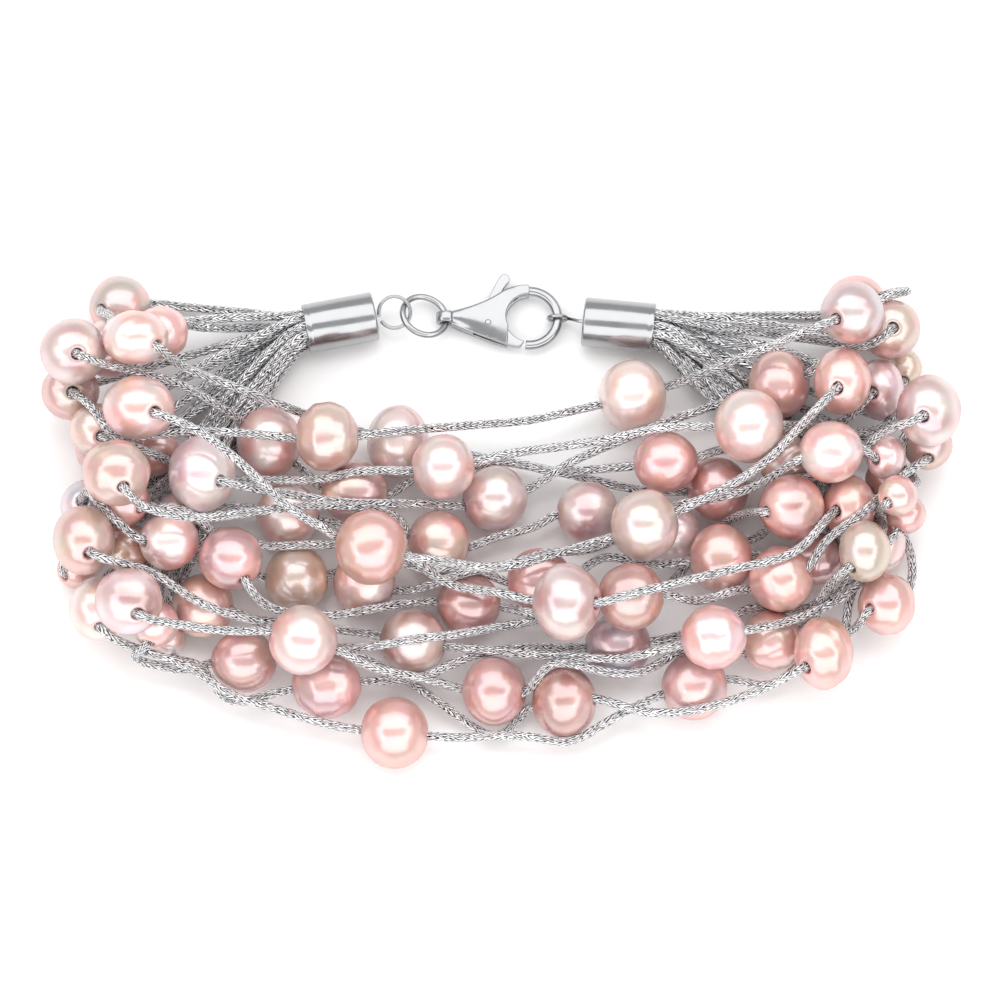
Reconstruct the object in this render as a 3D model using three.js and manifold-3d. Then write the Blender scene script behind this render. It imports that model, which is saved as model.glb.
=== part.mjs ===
// A bracelet of freshwater pearls on seventeen braided metal-thread cords, closed by a lobster clasp
// and lying on its side on a table. The clasp and its two end caps lie at the back. Every cord runs
// from the left cap out to the left edge, turns up through a pearl there, crosses the front, dives
// down at the right edge and runs back to the right cap. Millimetres, +Z up, the table is z = 0.

import * as THREE from 'three';
import { mergeVertices } from 'three/addons/utils/BufferGeometryUtils.js';
import Module from 'manifold-3d';

const wasm = await Module();
wasm.setup();

// ---------------------------------------------------------------- driving dimensions

const CORD_RADIUS = 0.4;
const CORD_SIDES = 5;
const LONGEST_STEP = 7; // along a cord, between two of its sections
const DRILL_RADIUS = 0.72;
const PEARL_SIDES = 9;
const CLEARANCE = 0.14; // between neighbours in the heap
const CRAWL_SPACE = 2.0; // under the edge pearls, where the back runs pass
const EDGE_X = 27; // the edge pearls lie further out than this
const DISPLAY_TILT = THREE.MathUtils.degToRad(15); // between the display side's view and straight down

const CAP_LENGTH = 7.2;
const CAP_RADIUS = 2.5;
const CAP_WALL = 0.18;
const CAP_SIDES = 20;
const CAP_HOLE_RADIUS = 0.45;
const CORD_IN_CAP = 1.5; // how far the cords reach into a cap
const CORD_PITCH = 0.91; // between the cords in a cap's mouth
const PLUG_GAP = 0.3;
const PLUG_LENGTH = 3.6;

const PIN_RADIUS = 0.19;
const PIN_HEAD_RADIUS = 0.8;
const PIN_HEAD_LENGTH = 0.4;
const RING_RADIUS = 2.3; // of the jump ring, to the middle of its wire
const RING_WIRE = 0.325;

const CLASP_THICKNESS = 2.4;
const HOOK_INNER = 2.35;
const HOOK_OUTER = 3.35;
const HOOK_THICKNESS = 1.0;
const SLOT_HEIGHT = 0.9; // of the slot in the clasp's body that the lever works in
const LEVER_THICKNESS = 0.6;
const RIVET_RADIUS = 0.32;
const RUNNING_GAP = 0.08; // between the rivet and what turns on it
const KNUCKLE_RADIUS = 1.05;
const KNUCKLE_BORE = 0.66;
const KNUCKLE_WIDTH = 1.1;

// ---------------------------------------------------------------- the heap's layout

// Places in the heap are given as seen from the display side: x to the right and s up the view.
// TOWARDS points at the viewer, and a height z says where on the line of sight the piece lies.
const UP = new THREE.Vector3(0, Math.cos(DISPLAY_TILT), Math.sin(DISPLAY_TILT));
const TOWARDS = new THREE.Vector3(0, -Math.sin(DISPLAY_TILT), Math.cos(DISPLAY_TILT));
const ACROSS = new THREE.Vector3(1, 0, 0);

function place(x, s, z) {
  const depth = (z - s * UP.z) / TOWARDS.z;
  return new THREE.Vector3(x, 0, 0).addScaledVector(UP, s).addScaledVector(TOWARDS, depth);
}

// A bend of a cord. A loose one is out of sight and finds its own way between its neighbours.
const bend = (x, s, z) => ({ x, s, z, loose: false });
const loose = (x, s, z) => ({ x, s, z, loose: true });

// A pearl: its centre, its half width across and up the view, its layer in the heap, and where its
// visible drill hole lies from its centre. A pearl of its own is a separate piece, drilled through,
// and a back pearl is one piece with its cord.
const pearl = (x, s, across, up, layer, hole) => ({ x, s, across, up, layer, hole, own: true });
const back = (x, s, across, up, layer, hole) => ({ x, s, across, up, layer, hole, own: false });

// Each strand: its place in the left fan and in the right fan, counted from the rear, and its stations.
const STRANDS = [
  { left: 4, right: 0, stations: [
    loose(-37, 13, 0.8), loose(-41.3, 10.5, 2), back(-40.4, 9, 2.7, 2.7, 2, [0.7, -0.7]),
    bend(-36.5, 8.4, 8), bend(-30, 8.7, 6.5), bend(-26.5, 8.7, 7.2), bend(-23.3, 8.5, 7.9),
    pearl(-17.3, 8.3, 3.2, 3.5, 2), bend(-10.3, 8.9, 8), bend(-5.5, 9.3, 7),
    bend(3, 10, 4.6), pearl(13.4, 12.5, 3.4, 3.7, 1), bend(19, 14.2, 4.6), bend(26.5, 17.2, 6),
    back(35.2, 20.7, 3.2, 3.2, 4, [-1.8, -0.7]), bend(39.4, 21.7, 5.4), bend(42, 23.1, 4.6),
    bend(39.6, 23, 4.6), back(36.1, 21.7, 3.1, 3.1, 0, [2, 0.8]),
  ] },
  { left: 0, right: 5, stations: [
    loose(-35.5, 21.4, 1), back(-38.5, 21.6, 3.1, 3.1, 0, [-1.9, -0.4]),
    bend(-38.9, 20.2, 9), back(-36.3, 18.2, 3.3, 2.7, 3, [2.2, -0.9]), bend(-32, 15.4, 7),
    bend(-26.8, 13.4, 5), bend(-19.5, 10.6, 3.6), pearl(-10.3, 7.9, 3.1, 3.7, 0),
    bend(-5.7, 7, 3), bend(4, 5.2, 2.6), bend(14, 3, 2.6), pearl(21.9, 3.1, 3.1, 3.2, 0),
    bend(25.5, 3.8, 4), bend(32, 6.2, 9), back(42.8, 10.9, 3.2, 3.6, 3, [-0.8, -0.6]),
    loose(43.5, 11.8, 3), back(38.6, 4.2, 1.9, 1.9, 1), loose(35.5, 7, 0.7),
  ] },
  { left: 1, right: 3, stations: [
    back(-39.2, 17.3, 3, 3, 0), loose(-43.6, 17.1, 3.6), back(-42.6, 16.8, 3.3, 3.3, 2, [0.6, -0.3]),
    bend(-39, 15.4, 11), bend(-33, 14, 8.6), bend(-29.5, 12.3, 6), bend(-26.3, 10.2, 4.4),
    back(-23.3, 7.8, 3.3, 3.6, 0), bend(-19.8, 5.2, 3), pearl(-14.6, 2.8, 3.4, 3.2, 0),
    bend(-9.5, 3.9, 3), bend(-4, 4.3, 2.2), bend(5, 5, 2.6), pearl(16.6, 5.8, 3.3, 3.1, 1),
    bend(21, 6.9, 3.6), bend(28.5, 8, 5), bend(34, 9.8, 8), back(38.2, 13.2, 2.5, 3, 2, [-0.9, -0.4]),
    loose(41.5, 14.5, 1.5), loose(37, 15.5, 0.7),
  ] },
  { left: 5, right: 4, stations: [
    loose(-38, 10.5, 0.7), loose(-40.3, 7.6, 1), back(-34.8, 7, 2.6, 2.6, 1), bend(-31.5, 4.6, 3),
    bend(-26.4, 4, 3), bend(-18, 4, 4), bend(-11, 5, 6.6), pearl(-5.7, 5.3, 3.2, 3.3, 2),
    bend(-1, 6.3, 6), bend(11, 8.1, 6), bend(16.6, 9.3, 7.4), pearl(24.9, 9.4, 3.5, 3.7, 2),
    bend(30.5, 9.6, 8), bend(36, 8.9, 7), back(40.8, 15.4, 1.9, 1.9, 0), loose(36.5, 18, 1.5),
  ] },
  { left: 3, right: 1, stations: [
    loose(-38, 15.5, 0.8), loose(-42.5, 13.4, 0.8), back(-43.2, 12.9, 2.9, 2.9, 1, [0.4, -0.1]),
    bend(-40.9, 10.6, 11), bend(-38.8, 9.2, 12), bend(-36.5, 7.6, 11.5), bend(-34, 6.4, 9.5),
    back(-29.8, 4.6, 3.4, 3.8, 2, [2.2, -0.7]), bend(-24.5, 3.1, 6), bend(-16, 1.8, 7),
    bend(-8, 1.6, 5), pearl(-0.5, 2.2, 3.3, 3.3, 0), bend(7, 5.2, 3.6), bend(11.5, 7.8, 3.6),
    bend(16, 9.8, 3), bend(21.3, 11.4, 3), back(28.1, 13.6, 3.1, 3.5, 1), bend(34, 15.8, 9),
    bend(38, 17.8, 11.6), back(39.3, 19.2, 3, 3, 2, [0.1, 0.1]), loose(38.5, 19.5, 1),
  ] },
  { left: 2, right: 2, stations: [
    back(-34, 18.8, 2.7, 2.7, 0), loose(-37.8, 15.4, 5), loose(-38.8, 12.6, 5.5),
    back(-36, 11.2, 3.6, 3.2, 3, [1.8, -0.5]), bend(-30, 9, 9.4), bend(-26.8, 6.6, 8),
    bend(-23.8, 3.9, 8), bend(-20.5, 0.8, 7.6), bend(-16.2, -1.4, 6.6), pearl(-12.8, -2.7, 3.6, 3.8, 2),
    bend(-6.2, -4, 7), bend(0, -4.8, 6), bend(6, -3.2, 6), pearl(14.4, -0.5, 3.4, 3.6, 2),
    bend(19.5, 1.8, 7.4), bend(22.5, 3.2, 7.6), bend(26.5, 6.2, 9.6), bend(30.8, 10.4, 11),
    back(34.3, 13.9, 2.9, 3.4, 3, [-0.7, -0.7]), loose(36, 16.5, 1.6),
  ] },
  { left: 7, right: 6, stations: [
    loose(-37.5, 8, 0.8), loose(-38.3, 5.4, 4), back(-38, 4.7, 3.4, 3.3, 3, [0.9, -1.5]),
    bend(-35.4, 1.4, 11), bend(-30, 0.2, 8), bend(-24, 0.9, 6.8), bend(-19.5, 1.4, 6),
    bend(-13, 1.2, 6.4), bend(-9.6, 0, 4), pearl(-6.2, -2.3, 3.1, 3.3, 0), bend(-1, -1.5, 3),
    bend(4, -0.5, 3), pearl(8.8, 0.8, 3.1, 3.1, 0), bend(13, -0.2, 2.6), back(17.3, -1.3, 2.8, 2.8, 0),
    bend(22, -2.6, 1.2), bend(26.6, -1.6, 1.4), back(28.8, 5.8, 2.8, 2.8, 1), loose(30.5, 10.5, 0.8),
  ] },
  { left: 6, right: 10, stations: [
    loose(-35.5, 11, 0.8), loose(-39.5, 10.3, 2.2), back(-40.2, 7.1, 2.6, 2.6, 0),
    loose(-37, 3.5, 1.4), back(-32.2, 0.8, 2.1, 2.1, 1), bend(-27.8, 1.4, 2.4),
    back(-21.3, 0.5, 3.2, 3.3, 0), bend(-15.8, -0.7, 3), bend(-9.7, -4, 2.6), bend(-5.5, -6.3, 3),
    bend(0, -7.2, 6), pearl(6.6, -8.1, 3.4, 3.9, 3), bend(12, -7.6, 12), bend(17, -6.4, 9.6),
    bend(22.5, -5, 8.6), bend(28.5, -2.4, 8.8), back(34.9, 1.3, 2.7, 3.2, 1, [-1.6, -0.4]),
    back(39.6, 2.4, 2, 2, 1), loose(41, 5, 1), loose(36, 9, 1.9),
  ] },
  { left: 8, right: 12, stations: [
    loose(-38.5, 7, 0.7), loose(-41, 2, 0.8), back(-41.4, 1.4, 2.7, 2.7, 1, [-0.4, 0.5]),
    bend(-41.3, 3.4, 8.6), bend(-40.4, 1.6, 8.6), bend(-38, -1, 9.6), back(-33, -2.1, 3, 2.9, 2),
    bend(-28.3, -0.9, 4), bend(-24.2, -2.6, 2.4), bend(-19.5, -2.5, 1.6), bend(-12.5, -2.4, 1.2),
    bend(-3, -4.6, 1.2), pearl(4, -6, 3.3, 3.2, 0), bend(10, -3.6, 3), bend(15.5, -4.6, 3),
    pearl(22.1, -3.8, 3.2, 3.5, 1), bend(27, -3.6, 3), back(31.8, -3.9, 2.7, 2.7, 0),
    loose(37, -1, 0.8), loose(38.5, 6, 0.8),
  ] },
  { left: 9, right: 8, stations: [
    loose(-38.8, 6, 0.8), loose(-41.3, 3.8, 1.2), back(-37.5, 2, 2.6, 2.6, 1), bend(-32.5, -0.2, 7.6),
    back(-26.8, -3.8, 3.2, 3.2, 3, [1.5, -2.2]), bend(-23.4, -8.6, 6), bend(-17.5, -9.6, 4),
    bend(-10, -8.5, 3), pearl(-3.1, -8.4, 3.2, 3, 0), bend(3.3, -9.6, 3), pearl(13, -7.6, 3.3, 3.4, 1),
    bend(19.5, -8.2, 4.4), bend(23.8, -6.8, 5), pearl(28, -5.9, 3.2, 3.3, 2), bend(32.3, -3.7, 8.4),
    bend(36.2, -0.7, 9.6), bend(39, 2.4, 9.2), bend(41.7, 6, 6), back(43, 7.6, 2.5, 2.6, 1),
    loose(42, 11, 0.8),
  ] },
  { left: 11, right: 13, stations: [
    loose(-38, 0, 0.7), back(-42.6, -5, 1.9, 1.9, 0), loose(-44.2, -3, 5.4),
    back(-41.4, -2, 3.1, 3.5, 3, [0.8, -1.3]), bend(-35, -5.4, 9.6), bend(-29.5, -8.4, 7.6),
    bend(-25, -9.8, 5), bend(-20, -10.4, 2.2), bend(-15.5, -11, 2.2), pearl(-8.7, -12.1, 3.3, 3.3, 0),
    bend(-3, -12.9, 3), bend(3, -13.5, 3), bend(12, -13.8, 5), pearl(21.2, -11.6, 3.3, 3.2, 1),
    bend(26.6, -10.6, 7.6), bend(31, -9.2, 7), bend(36, -7, 7), back(38.2, -2.6, 2.6, 2.8, 0),
    loose(39.6, 0.6, 0.9), loose(39, 8, 0.8),
  ] },
  { left: 12, right: 11, stations: [
    loose(-39, 0, 1.4), loose(-38.4, -5.6, 2), back(-36.7, -8, 3.4, 3.3, 4, [1, -1.3]),
    bend(-31.5, -10.3, 9), bend(-26, -11, 8.6), back(-19.5, -11.9, 3.4, 3.5, 3),
    bend(-13, -14.6, 6), bend(-7, -15.9, 3.6), pearl(-0.6, -17.1, 3.2, 3.5, 0), bend(5.4, -16.7, 7),
    bend(11, -16.2, 5), bend(19, -14.4, 1.8), back(27.1, -12.1, 3.1, 3.1, 0), loose(31.5, -9.4, 1),
    loose(36, -4.5, 0.8), back(40.6, 0.6, 2, 2, 0), loose(40.5, 5, 0.9), loose(38, 9, 0.8),
  ] },
  { left: 14, right: 15, stations: [
    loose(-38, -1, 0.7), loose(-39.4, -5.5, 0.9), back(-40.1, -8.8, 3, 3.2, 1, [0.3, -1.9]),
    bend(-38, -12.2, 6), bend(-34, -13.3, 5), bend(-30.5, -14.8, 3.6), bend(-27, -17.4, 1.8),
    bend(-20, -19.4, 1.8), bend(-15, -20.7, 2.8), pearl(-10.5, -21.2, 3.4, 3.6, 0), bend(-4, -21.7, 3),
    bend(3, -21.2, 2.4), bend(10, -19.6, 2), pearl(19.4, -16.6, 3.3, 3.4, 0), bend(26, -15.6, 2),
    bend(31, -11.6, 1.4), bend(34.9, -10.4, 2.2), back(38.6, -8.4, 2.9, 3.1, 1, [-2, -0.5]),
    loose(40.5, -5.5, 0.8), loose(40, 8, 0.8),
  ] },
  { left: 15, right: 9, stations: [
    loose(-34.5, -4, 0.8), back(-34.4, -10.3, 2.4, 2.4, 1), bend(-37, -13.2, 2.6),
    bend(-34, -14.4, 1.6), bend(-30.5, -13.6, 1.6), pearl(-25.6, -14.1, 3.3, 3.1, 0),
    bend(-19, -13.2, 2), bend(-13.5, -12.9, 6), bend(-8.7, -12, 7.8), bend(-3.5, -11.3, 7),
    bend(3.3, -9.9, 3), bend(10, -8, 1.6), bend(15.5, -6.6, 1.4), bend(19.5, -1.2, 1.4),
    bend(23.2, 0, 7), bend(25, 0.8, 12.6), pearl(29.1, 1.3, 3.3, 3.2, 2, [-2.7, -0.5]), loose(34, 4, 1.2), loose(35, 9, 0.8),
  ] },
  { left: 16, right: 14, stations: [
    loose(-33.5, -4, 0.8), back(-33.5, -12, 2, 2, 0), bend(-30, -15.6, 1.4), bend(-27, -18.2, 0.8),
    bend(-22.5, -17.2, 2.2), pearl(-17.3, -16.5, 3.5, 3.3, 0), bend(-8, -15.6, 2), bend(-3, -13.9, 1.8),
    bend(4, -12.7, 2), pearl(11.8, -12.5, 3.3, 3.3, 0), bend(18, -11.5, 2), bend(25, -9.4, 3),
    bend(31, -8.2, 4), back(36.3, -3.1, 2.6, 3.1, 3, [-1.7, -1.6]), loose(37.5, 1, 1), loose(38.5, 8, 1.4),
  ] },
  { left: 13, right: 16, stations: [
    loose(-38, -4, 1.6), loose(-36, -9, 0.7), back(-29.7, -8.6, 3.1, 3.2, 0), bend(-23, -10.9, 3),
    bend(-17, -12.6, 2), bend(-12, -14.2, 2.4), bend(-5, -18.2, 1), bend(-0.5, -20.6, 1),
    pearl(6.4, -18.1, 3.2, 3.6, 0), bend(14, -19.1, 5), bend(19.4, -18.6, 7.6), bend(25, -17.2, 6.6),
    back(32.2, -13.2, 3, 3.6, 1, [-2.1, -1.4]), bend(34.9, -8.6, 1.4), loose(38.5, 0, 1), loose(40, 7, 1),
  ] },
  { left: 10, right: 7, stations: [
    loose(-39.5, 3, 0.7), loose(-41, -1.5, 1.2), back(-37.5, -2.8, 2.5, 2.5, 1), loose(-31, -4, 2),
    bend(-26, -4.6, 2.6), back(-20.4, -5.9, 3.2, 3.3, 0), bend(-17, -4.6, 3), back(-13.6, -6.2, 3.1, 3.3, 0),
    bend(-8, -7.4, 3), bend(-2, -6, 2.8), bend(5, -4, 7), bend(11, -2.3, 3), bend(17.8, 1.2, 6.6),
    bend(24, 2.6, 8), bend(28.5, 4.2, 8.6), back(33, 6.8, 3.2, 3.1, 2), back(38.6, 6.3, 2, 2.2, 2),
    loose(41, 8, 1.5),
  ] },
];

// ---------------------------------------------------------------- stacking the pearls

const pearls = STRANDS.flatMap((strand) => strand.stations.filter((station) => station.across));

// A pearl's reach from its centre to the plane square to a direction that touches it.
function reach({ across, up }, direction) {
  const deep = (across + up) / 2;
  return Math.hypot(
    across * direction.dot(ACROSS), up * direction.dot(UP), deep * direction.dot(TOWARDS),
  );
}

function apart(a, b) {
  const line = new THREE.Vector3().subVectors(b.centre, a.centre);
  const distance = line.length();
  line.normalize();
  return distance - reach(a, line) - reach(b, line);
}

// Each pearl comes down its line of sight until it rests on the table, on the back runs under the
// edge pearls, or on a pearl of a lower layer.
function stackPearls() {
  const placed = [];
  const order = [...pearls].sort((a, b) => a.layer - b.layer);
  for (const one of order) {
    const onEdge = one.layer > 0 && Math.abs(one.x) > EDGE_X;
    const lowest = (one.across + one.up) / 2 + (onEdge ? CRAWL_SPACE : 0.02);
    one.centre = place(one.x, one.s, lowest);
    while (placed.some((other) => apart(one, other) < CLEARANCE)) {
      one.centre.addScaledVector(TOWARDS, 0.05);
    }
    placed.push(one);
  }
}

// ---------------------------------------------------------------- settling the cords

const capAxis = (degrees) => new THREE.Vector3(1, 0, 0)
  .applyAxisAngle(new THREE.Vector3(0, 0, 1), THREE.MathUtils.degToRad(degrees));
const CAPS = {
  left: { centre: new THREE.Vector3(-16.15, 20.03, CAP_RADIUS + 0.02), inward: capAxis(11.2) },
  right: { centre: new THREE.Vector3(12, 19.77, CAP_RADIUS + 0.02), inward: capAxis(174.3) },
};

// The cords sit in a cap's mouth as seventeen of the nineteen places of a round bundle, rear ones first.
function bundlePlaces() {
  const places = [];
  for (let row = -2; row <= 2; row++) {
    const inRow = 5 - Math.abs(row);
    for (let i = 0; i < inRow; i++) {
      places.push([(i - (inRow - 1) / 2) * CORD_PITCH, row * CORD_PITCH * Math.sqrt(3) / 2]);
    }
  }
  return places.filter(([side, up]) => Math.abs(side) < 1.9 * CORD_PITCH)
    .sort((a, b) => b[0] - a[0] || a[1] - b[1]);
}
const BUNDLE = bundlePlaces();

function mouthPoint(cap, order, beyond) {
  const rearward = new THREE.Vector3(-cap.inward.y, cap.inward.x, 0);
  if (rearward.y < 0) rearward.negate();
  const [side, up] = BUNDLE[order];
  return cap.centre.clone().addScaledVector(cap.inward, -CAP_LENGTH / 2 - beyond)
    .addScaledVector(rearward, side).add(new THREE.Vector3(0, 0, up));
}

const held = (p) => ({ p, held: true });
const free = ({ x, s, z, loose: isLoose }) => {
  const p = place(x, s, z);
  return { p, home: p.clone(), loose: isLoose };
};

// The back runs fan out from a cap: their bundle grows wider and flatter, and lies on the table.
function fanPoint(order, x, s, wider, flatter) {
  const [side, up] = BUNDLE[order];
  const height = CORD_RADIUS + 0.04 + (up + CORD_PITCH * Math.sqrt(3)) * flatter;
  return free({ x, s: s + side * wider, z: height, loose: true });
}
const leftFan = (order) => [
  fanPoint(order, -24.5, 17.3, 2.1, 0.85), fanPoint(order, -31, 16.3, 3.4, 0.65),
];
const rightFan = (order) => [
  fanPoint(order, 28.5, 17.4, 2.3, 0.8), fanPoint(order, 21.5, 17.6, 1.6, 1),
];

// A cord goes straight through a pearl, in at one drill hole and out at the other.
function drillDirection(station, before, after) {
  if (!station.hole) {
    return new THREE.Vector3().subVectors(after, before).normalize();
  }
  const [across, up] = station.hole;
  const radius = (station.across + station.up) / 2;
  const depth = Math.sqrt(Math.max(0, radius ** 2 - across ** 2 - up ** 2));
  const towardsHole = new THREE.Vector3(across, 0, 0).addScaledVector(UP, up)
    .addScaledVector(TOWARDS, depth).normalize();
  return station.x < 0 ? towardsHole : towardsHole.negate(); // rising at the left, diving at the right
}

function cordNodes(strand) {
  const start = [-CORD_IN_CAP, 0.6].map((beyond) => held(mouthPoint(CAPS.left, strand.left, beyond)));
  const end = [0.6, -CORD_IN_CAP].map((beyond) => held(mouthPoint(CAPS.right, strand.right, beyond)));
  const middles = strand.stations.map((station) => station.centre ?? place(station.x, station.s, station.z));
  const nodes = [...start, ...leftFan(strand.left)];
  strand.stations.forEach((station, i) => {
    if (!station.centre) {
      nodes.push(free(station));
      return;
    }
    const before = middles[i - 1] ?? nodes.at(-1).p;
    const after = middles[i + 1] ?? rightFan(strand.right)[0].p;
    station.drill = drillDirection(station, before, after);
    const half = reach(station, station.drill) + 0.25;
    nodes.push({ ...held(station.centre.clone().addScaledVector(station.drill, -half)), into: station });
    nodes.push({ ...held(station.centre.clone().addScaledVector(station.drill, half)), out: station });
  });
  return split([...nodes, ...rightFan(strand.right), ...end]);
}

// Extra nodes in the long stretches between pearls.
function split(nodes) {
  return nodes.flatMap((node, i) => {
    const next = nodes[i + 1];
    const pieces = next && !node.into ? Math.ceil(node.p.distanceTo(next.p) / LONGEST_STEP) : 1;
    const extra = Array.from({ length: pieces - 1 }, (_, k) => {
      const p = node.p.clone().lerp(next.p, (k + 1) / pieces);
      return { p, home: p.clone(), loose: Boolean(node.loose && next.loose) };
    });
    return [node, ...extra];
  });
}

// The closest points of two straight stretches, as shares along each.
function closest(a, b, c, d) {
  const u = new THREE.Vector3().subVectors(b, a);
  const v = new THREE.Vector3().subVectors(d, c);
  const w = new THREE.Vector3().subVectors(a, c);
  const [uu, uv, vv, uw, vw] = [u.dot(u), u.dot(v), v.dot(v), u.dot(w), v.dot(w)];
  const clamp = (share) => Math.min(1, Math.max(0, share));
  let s = clamp((uv * vw - vv * uw) / Math.max(uu * vv - uv * uv, 1e-9));
  const t = clamp((uv * s + vw) / Math.max(vv, 1e-9));
  s = clamp((uv * t - uw) / Math.max(uu, 1e-9));
  return [s, t];
}

const ROUNDS = 1500;
const NEIGHBOUR_ROUNDS = 20; // between two looks at which stretches are near each other
const NEAR = 2.5;

// Cords push each other and are pushed out of pearls and up from the table, a little at a time. A
// visible bend mostly keeps its place in the view and moves towards or away from the viewer.
function settleCords(cords) {
  const stretches = cords.flatMap((nodes, cord) => nodes.slice(1).map((end, i) => (
    { cord, i, a: nodes[i], b: end, inside: nodes[i].into }
  )));
  let pairs = [];
  for (let round = 0; round < ROUNDS; round++) {
    if (round % NEIGHBOUR_ROUNDS === 0) pairs = nearPairs(stretches);
    for (const nodes of cords) nodes.forEach((node) => { node.push = new THREE.Vector3(); });
    for (const [one, other] of pairs) {
      if (other.across) pushOut(one, other);
      else pushApart(one, other);
    }
    for (const nodes of cords) relax(nodes);
  }
}

function nearPairs(stretches) {
  const pairs = [];
  const middle = ({ a, b }) => new THREE.Vector3().addVectors(a.p, b.p).multiplyScalar(0.5);
  const looked = stretches.map((one) => ({ one, at: middle(one), half: one.a.p.distanceTo(one.b.p) / 2 }));
  looked.forEach(({ one, at, half }, i) => {
    for (const two of looked.slice(i + 1)) {
      const sameCord = two.one.cord === one.cord && two.one.i - one.i < 3;
      if (!sameCord && at.distanceTo(two.at) < half + two.half + NEAR) pairs.push([one, two.one]);
    }
    for (const ball of pearls) {
      const through = one.inside === ball || one.a.out === ball || one.b.into === ball;
      if (!through && at.distanceTo(ball.centre) < half + ball.up + NEAR) pairs.push([one, ball]);
    }
  });
  return pairs;
}

function share(stretch, t, push) {
  stretch.a.push.addScaledVector(push, 1 - t);
  stretch.b.push.addScaledVector(push, t);
}

function pushApart(one, two) {
  const [s, t] = closest(one.a.p, one.b.p, two.a.p, two.b.p);
  const from = one.a.p.clone().lerp(one.b.p, s);
  const line = two.a.p.clone().lerp(two.b.p, t).sub(from);
  const distance = line.length();
  const overlap = 2 * CORD_RADIUS + CLEARANCE - distance;
  if (overlap <= 0) return;
  if (distance < 0.05) line.copy(TOWARDS);
  line.normalize();
  share(two, t, line.clone().multiplyScalar(overlap));
  share(one, s, line.multiplyScalar(-overlap));
}

function pushOut(one, ball) {
  const along = new THREE.Vector3().subVectors(one.b.p, one.a.p);
  const t = Math.min(1, Math.max(0, ball.centre.clone().sub(one.a.p).dot(along) / along.lengthSq()));
  const line = one.a.p.clone().addScaledVector(along, t).sub(ball.centre);
  const distance = line.length();
  line.normalize();
  const overlap = reach(ball, line) + CORD_RADIUS + CLEARANCE - distance;
  if (overlap <= 0) return;
  const passable = ball.centre.z - ball.up > 2 * CORD_RADIUS + CLEARANCE; // by a cord underneath
  if (!passable && line.z < 0) line.setZ(0).normalize();
  share(one, t, line.multiplyScalar(overlap * 1.4));
}

function relax(nodes) {
  const before = nodes.map((node) => node.p.clone());
  nodes.forEach((node, i) => {
    if (node.held) return;
    const smooth = before[i - 1].clone().add(before[i + 1]).multiplyScalar(0.5).sub(before[i]);
    if (node.loose) {
      node.p.addScaledVector(smooth, 0.06).addScaledVector(node.push, 0.5);
    } else {
      node.p.addScaledVector(TOWARDS, 0.1 * smooth.dot(TOWARDS)).addScaledVector(node.push, 0.5);
      const astray = node.p.clone().sub(node.home);
      astray.addScaledVector(TOWARDS, -astray.dot(TOWARDS));
      node.p.addScaledVector(astray, -0.04);
    }
    node.p.z = Math.max(node.p.z, CORD_RADIUS + 0.04);
  });
}

// ---------------------------------------------------------------- building: helpers

const FINISHES = {
  pearl: new THREE.MeshStandardMaterial({ color: '#e6bdb2', roughness: 0.25, metalness: 0 }),
  cord: new THREE.MeshStandardMaterial({ color: '#b9b9b9', roughness: 0.35, metalness: 0.9 }),
  silver: new THREE.MeshStandardMaterial({ color: '#d4d6d8', roughness: 0.12, metalness: 1 }),
  resin: new THREE.MeshStandardMaterial({ color: '#cfc8b4', roughness: 0.4, metalness: 0 }),
};

const group = new THREE.Group();

function add(name, geometry, finish) {
  const piece = new THREE.Mesh(geometry, FINISHES[finish]);
  piece.name = name;
  group.add(piece);
}

function toSolid(geometry) {
  const bare = geometry.clone();
  bare.deleteAttribute('normal');
  bare.deleteAttribute('uv');
  const merged = mergeVertices(bare, 1e-4);
  return new wasm.Manifold(new wasm.Mesh({
    numProp: 3,
    vertProperties: new Float32Array(merged.attributes.position.array),
    triVerts: new Uint32Array(merged.index.array),
  }));
}

function fromSolid(solid) {
  const { vertProperties, triVerts } = solid.getMesh();
  const geometry = new THREE.BufferGeometry();
  geometry.setAttribute('position', new THREE.BufferAttribute(new Float32Array(vertProperties), 3));
  geometry.setIndex(new THREE.BufferAttribute(new Uint32Array(triVerts), 1));
  geometry.computeVertexNormals();
  return geometry;
}

const join = (...parts) => parts.map(toSolid).reduce((whole, part) => whole.add(part));

function ring(sides, radius, turn = 0) {
  return Array.from({ length: sides }, (_, i) => {
    const angle = turn + (2 * Math.PI * i) / sides;
    return new THREE.Vector2(radius * Math.cos(angle), radius * Math.sin(angle));
  });
}

// A curve through given points whose sections stand exactly at the points.
class Route extends THREE.Curve {
  constructor(points) {
    super();
    this.points = points;
  }

  getPoint(t, target = new THREE.Vector3()) {
    const at = t * (this.points.length - 1);
    const i = Math.min(Math.floor(at), this.points.length - 2);
    return target.lerpVectors(this.points[i], this.points[i + 1], at - i);
  }

  getPointAt(u, target) {
    return this.getPoint(u, target);
  }

  getTangentAt(u, target = new THREE.Vector3()) {
    const last = this.points.length - 1;
    const i = Math.round(u * last);
    const [from, here, to] = [i - 1, i, i + 1].map((k) => this.points[Math.min(last, Math.max(0, k))]);
    const incoming = new THREE.Vector3().subVectors(here, from).normalize();
    const outgoing = new THREE.Vector3().subVectors(to, here).normalize();
    return target.addVectors(incoming, outgoing).normalize();
  }
}

function tube(points, radius, sides) {
  return new THREE.ExtrudeGeometry(new THREE.Shape(ring(sides, radius)), {
    steps: points.length - 1,
    extrudePath: new Route(points),
  });
}

// Turns a geometry made around +Y so that it stands along a direction, at a place.
function standAlong(geometry, direction, at) {
  const turn = new THREE.Quaternion().setFromUnitVectors(new THREE.Vector3(0, 1, 0), direction);
  return geometry.applyQuaternion(turn).translate(at.x, at.y, at.z);
}

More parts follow.
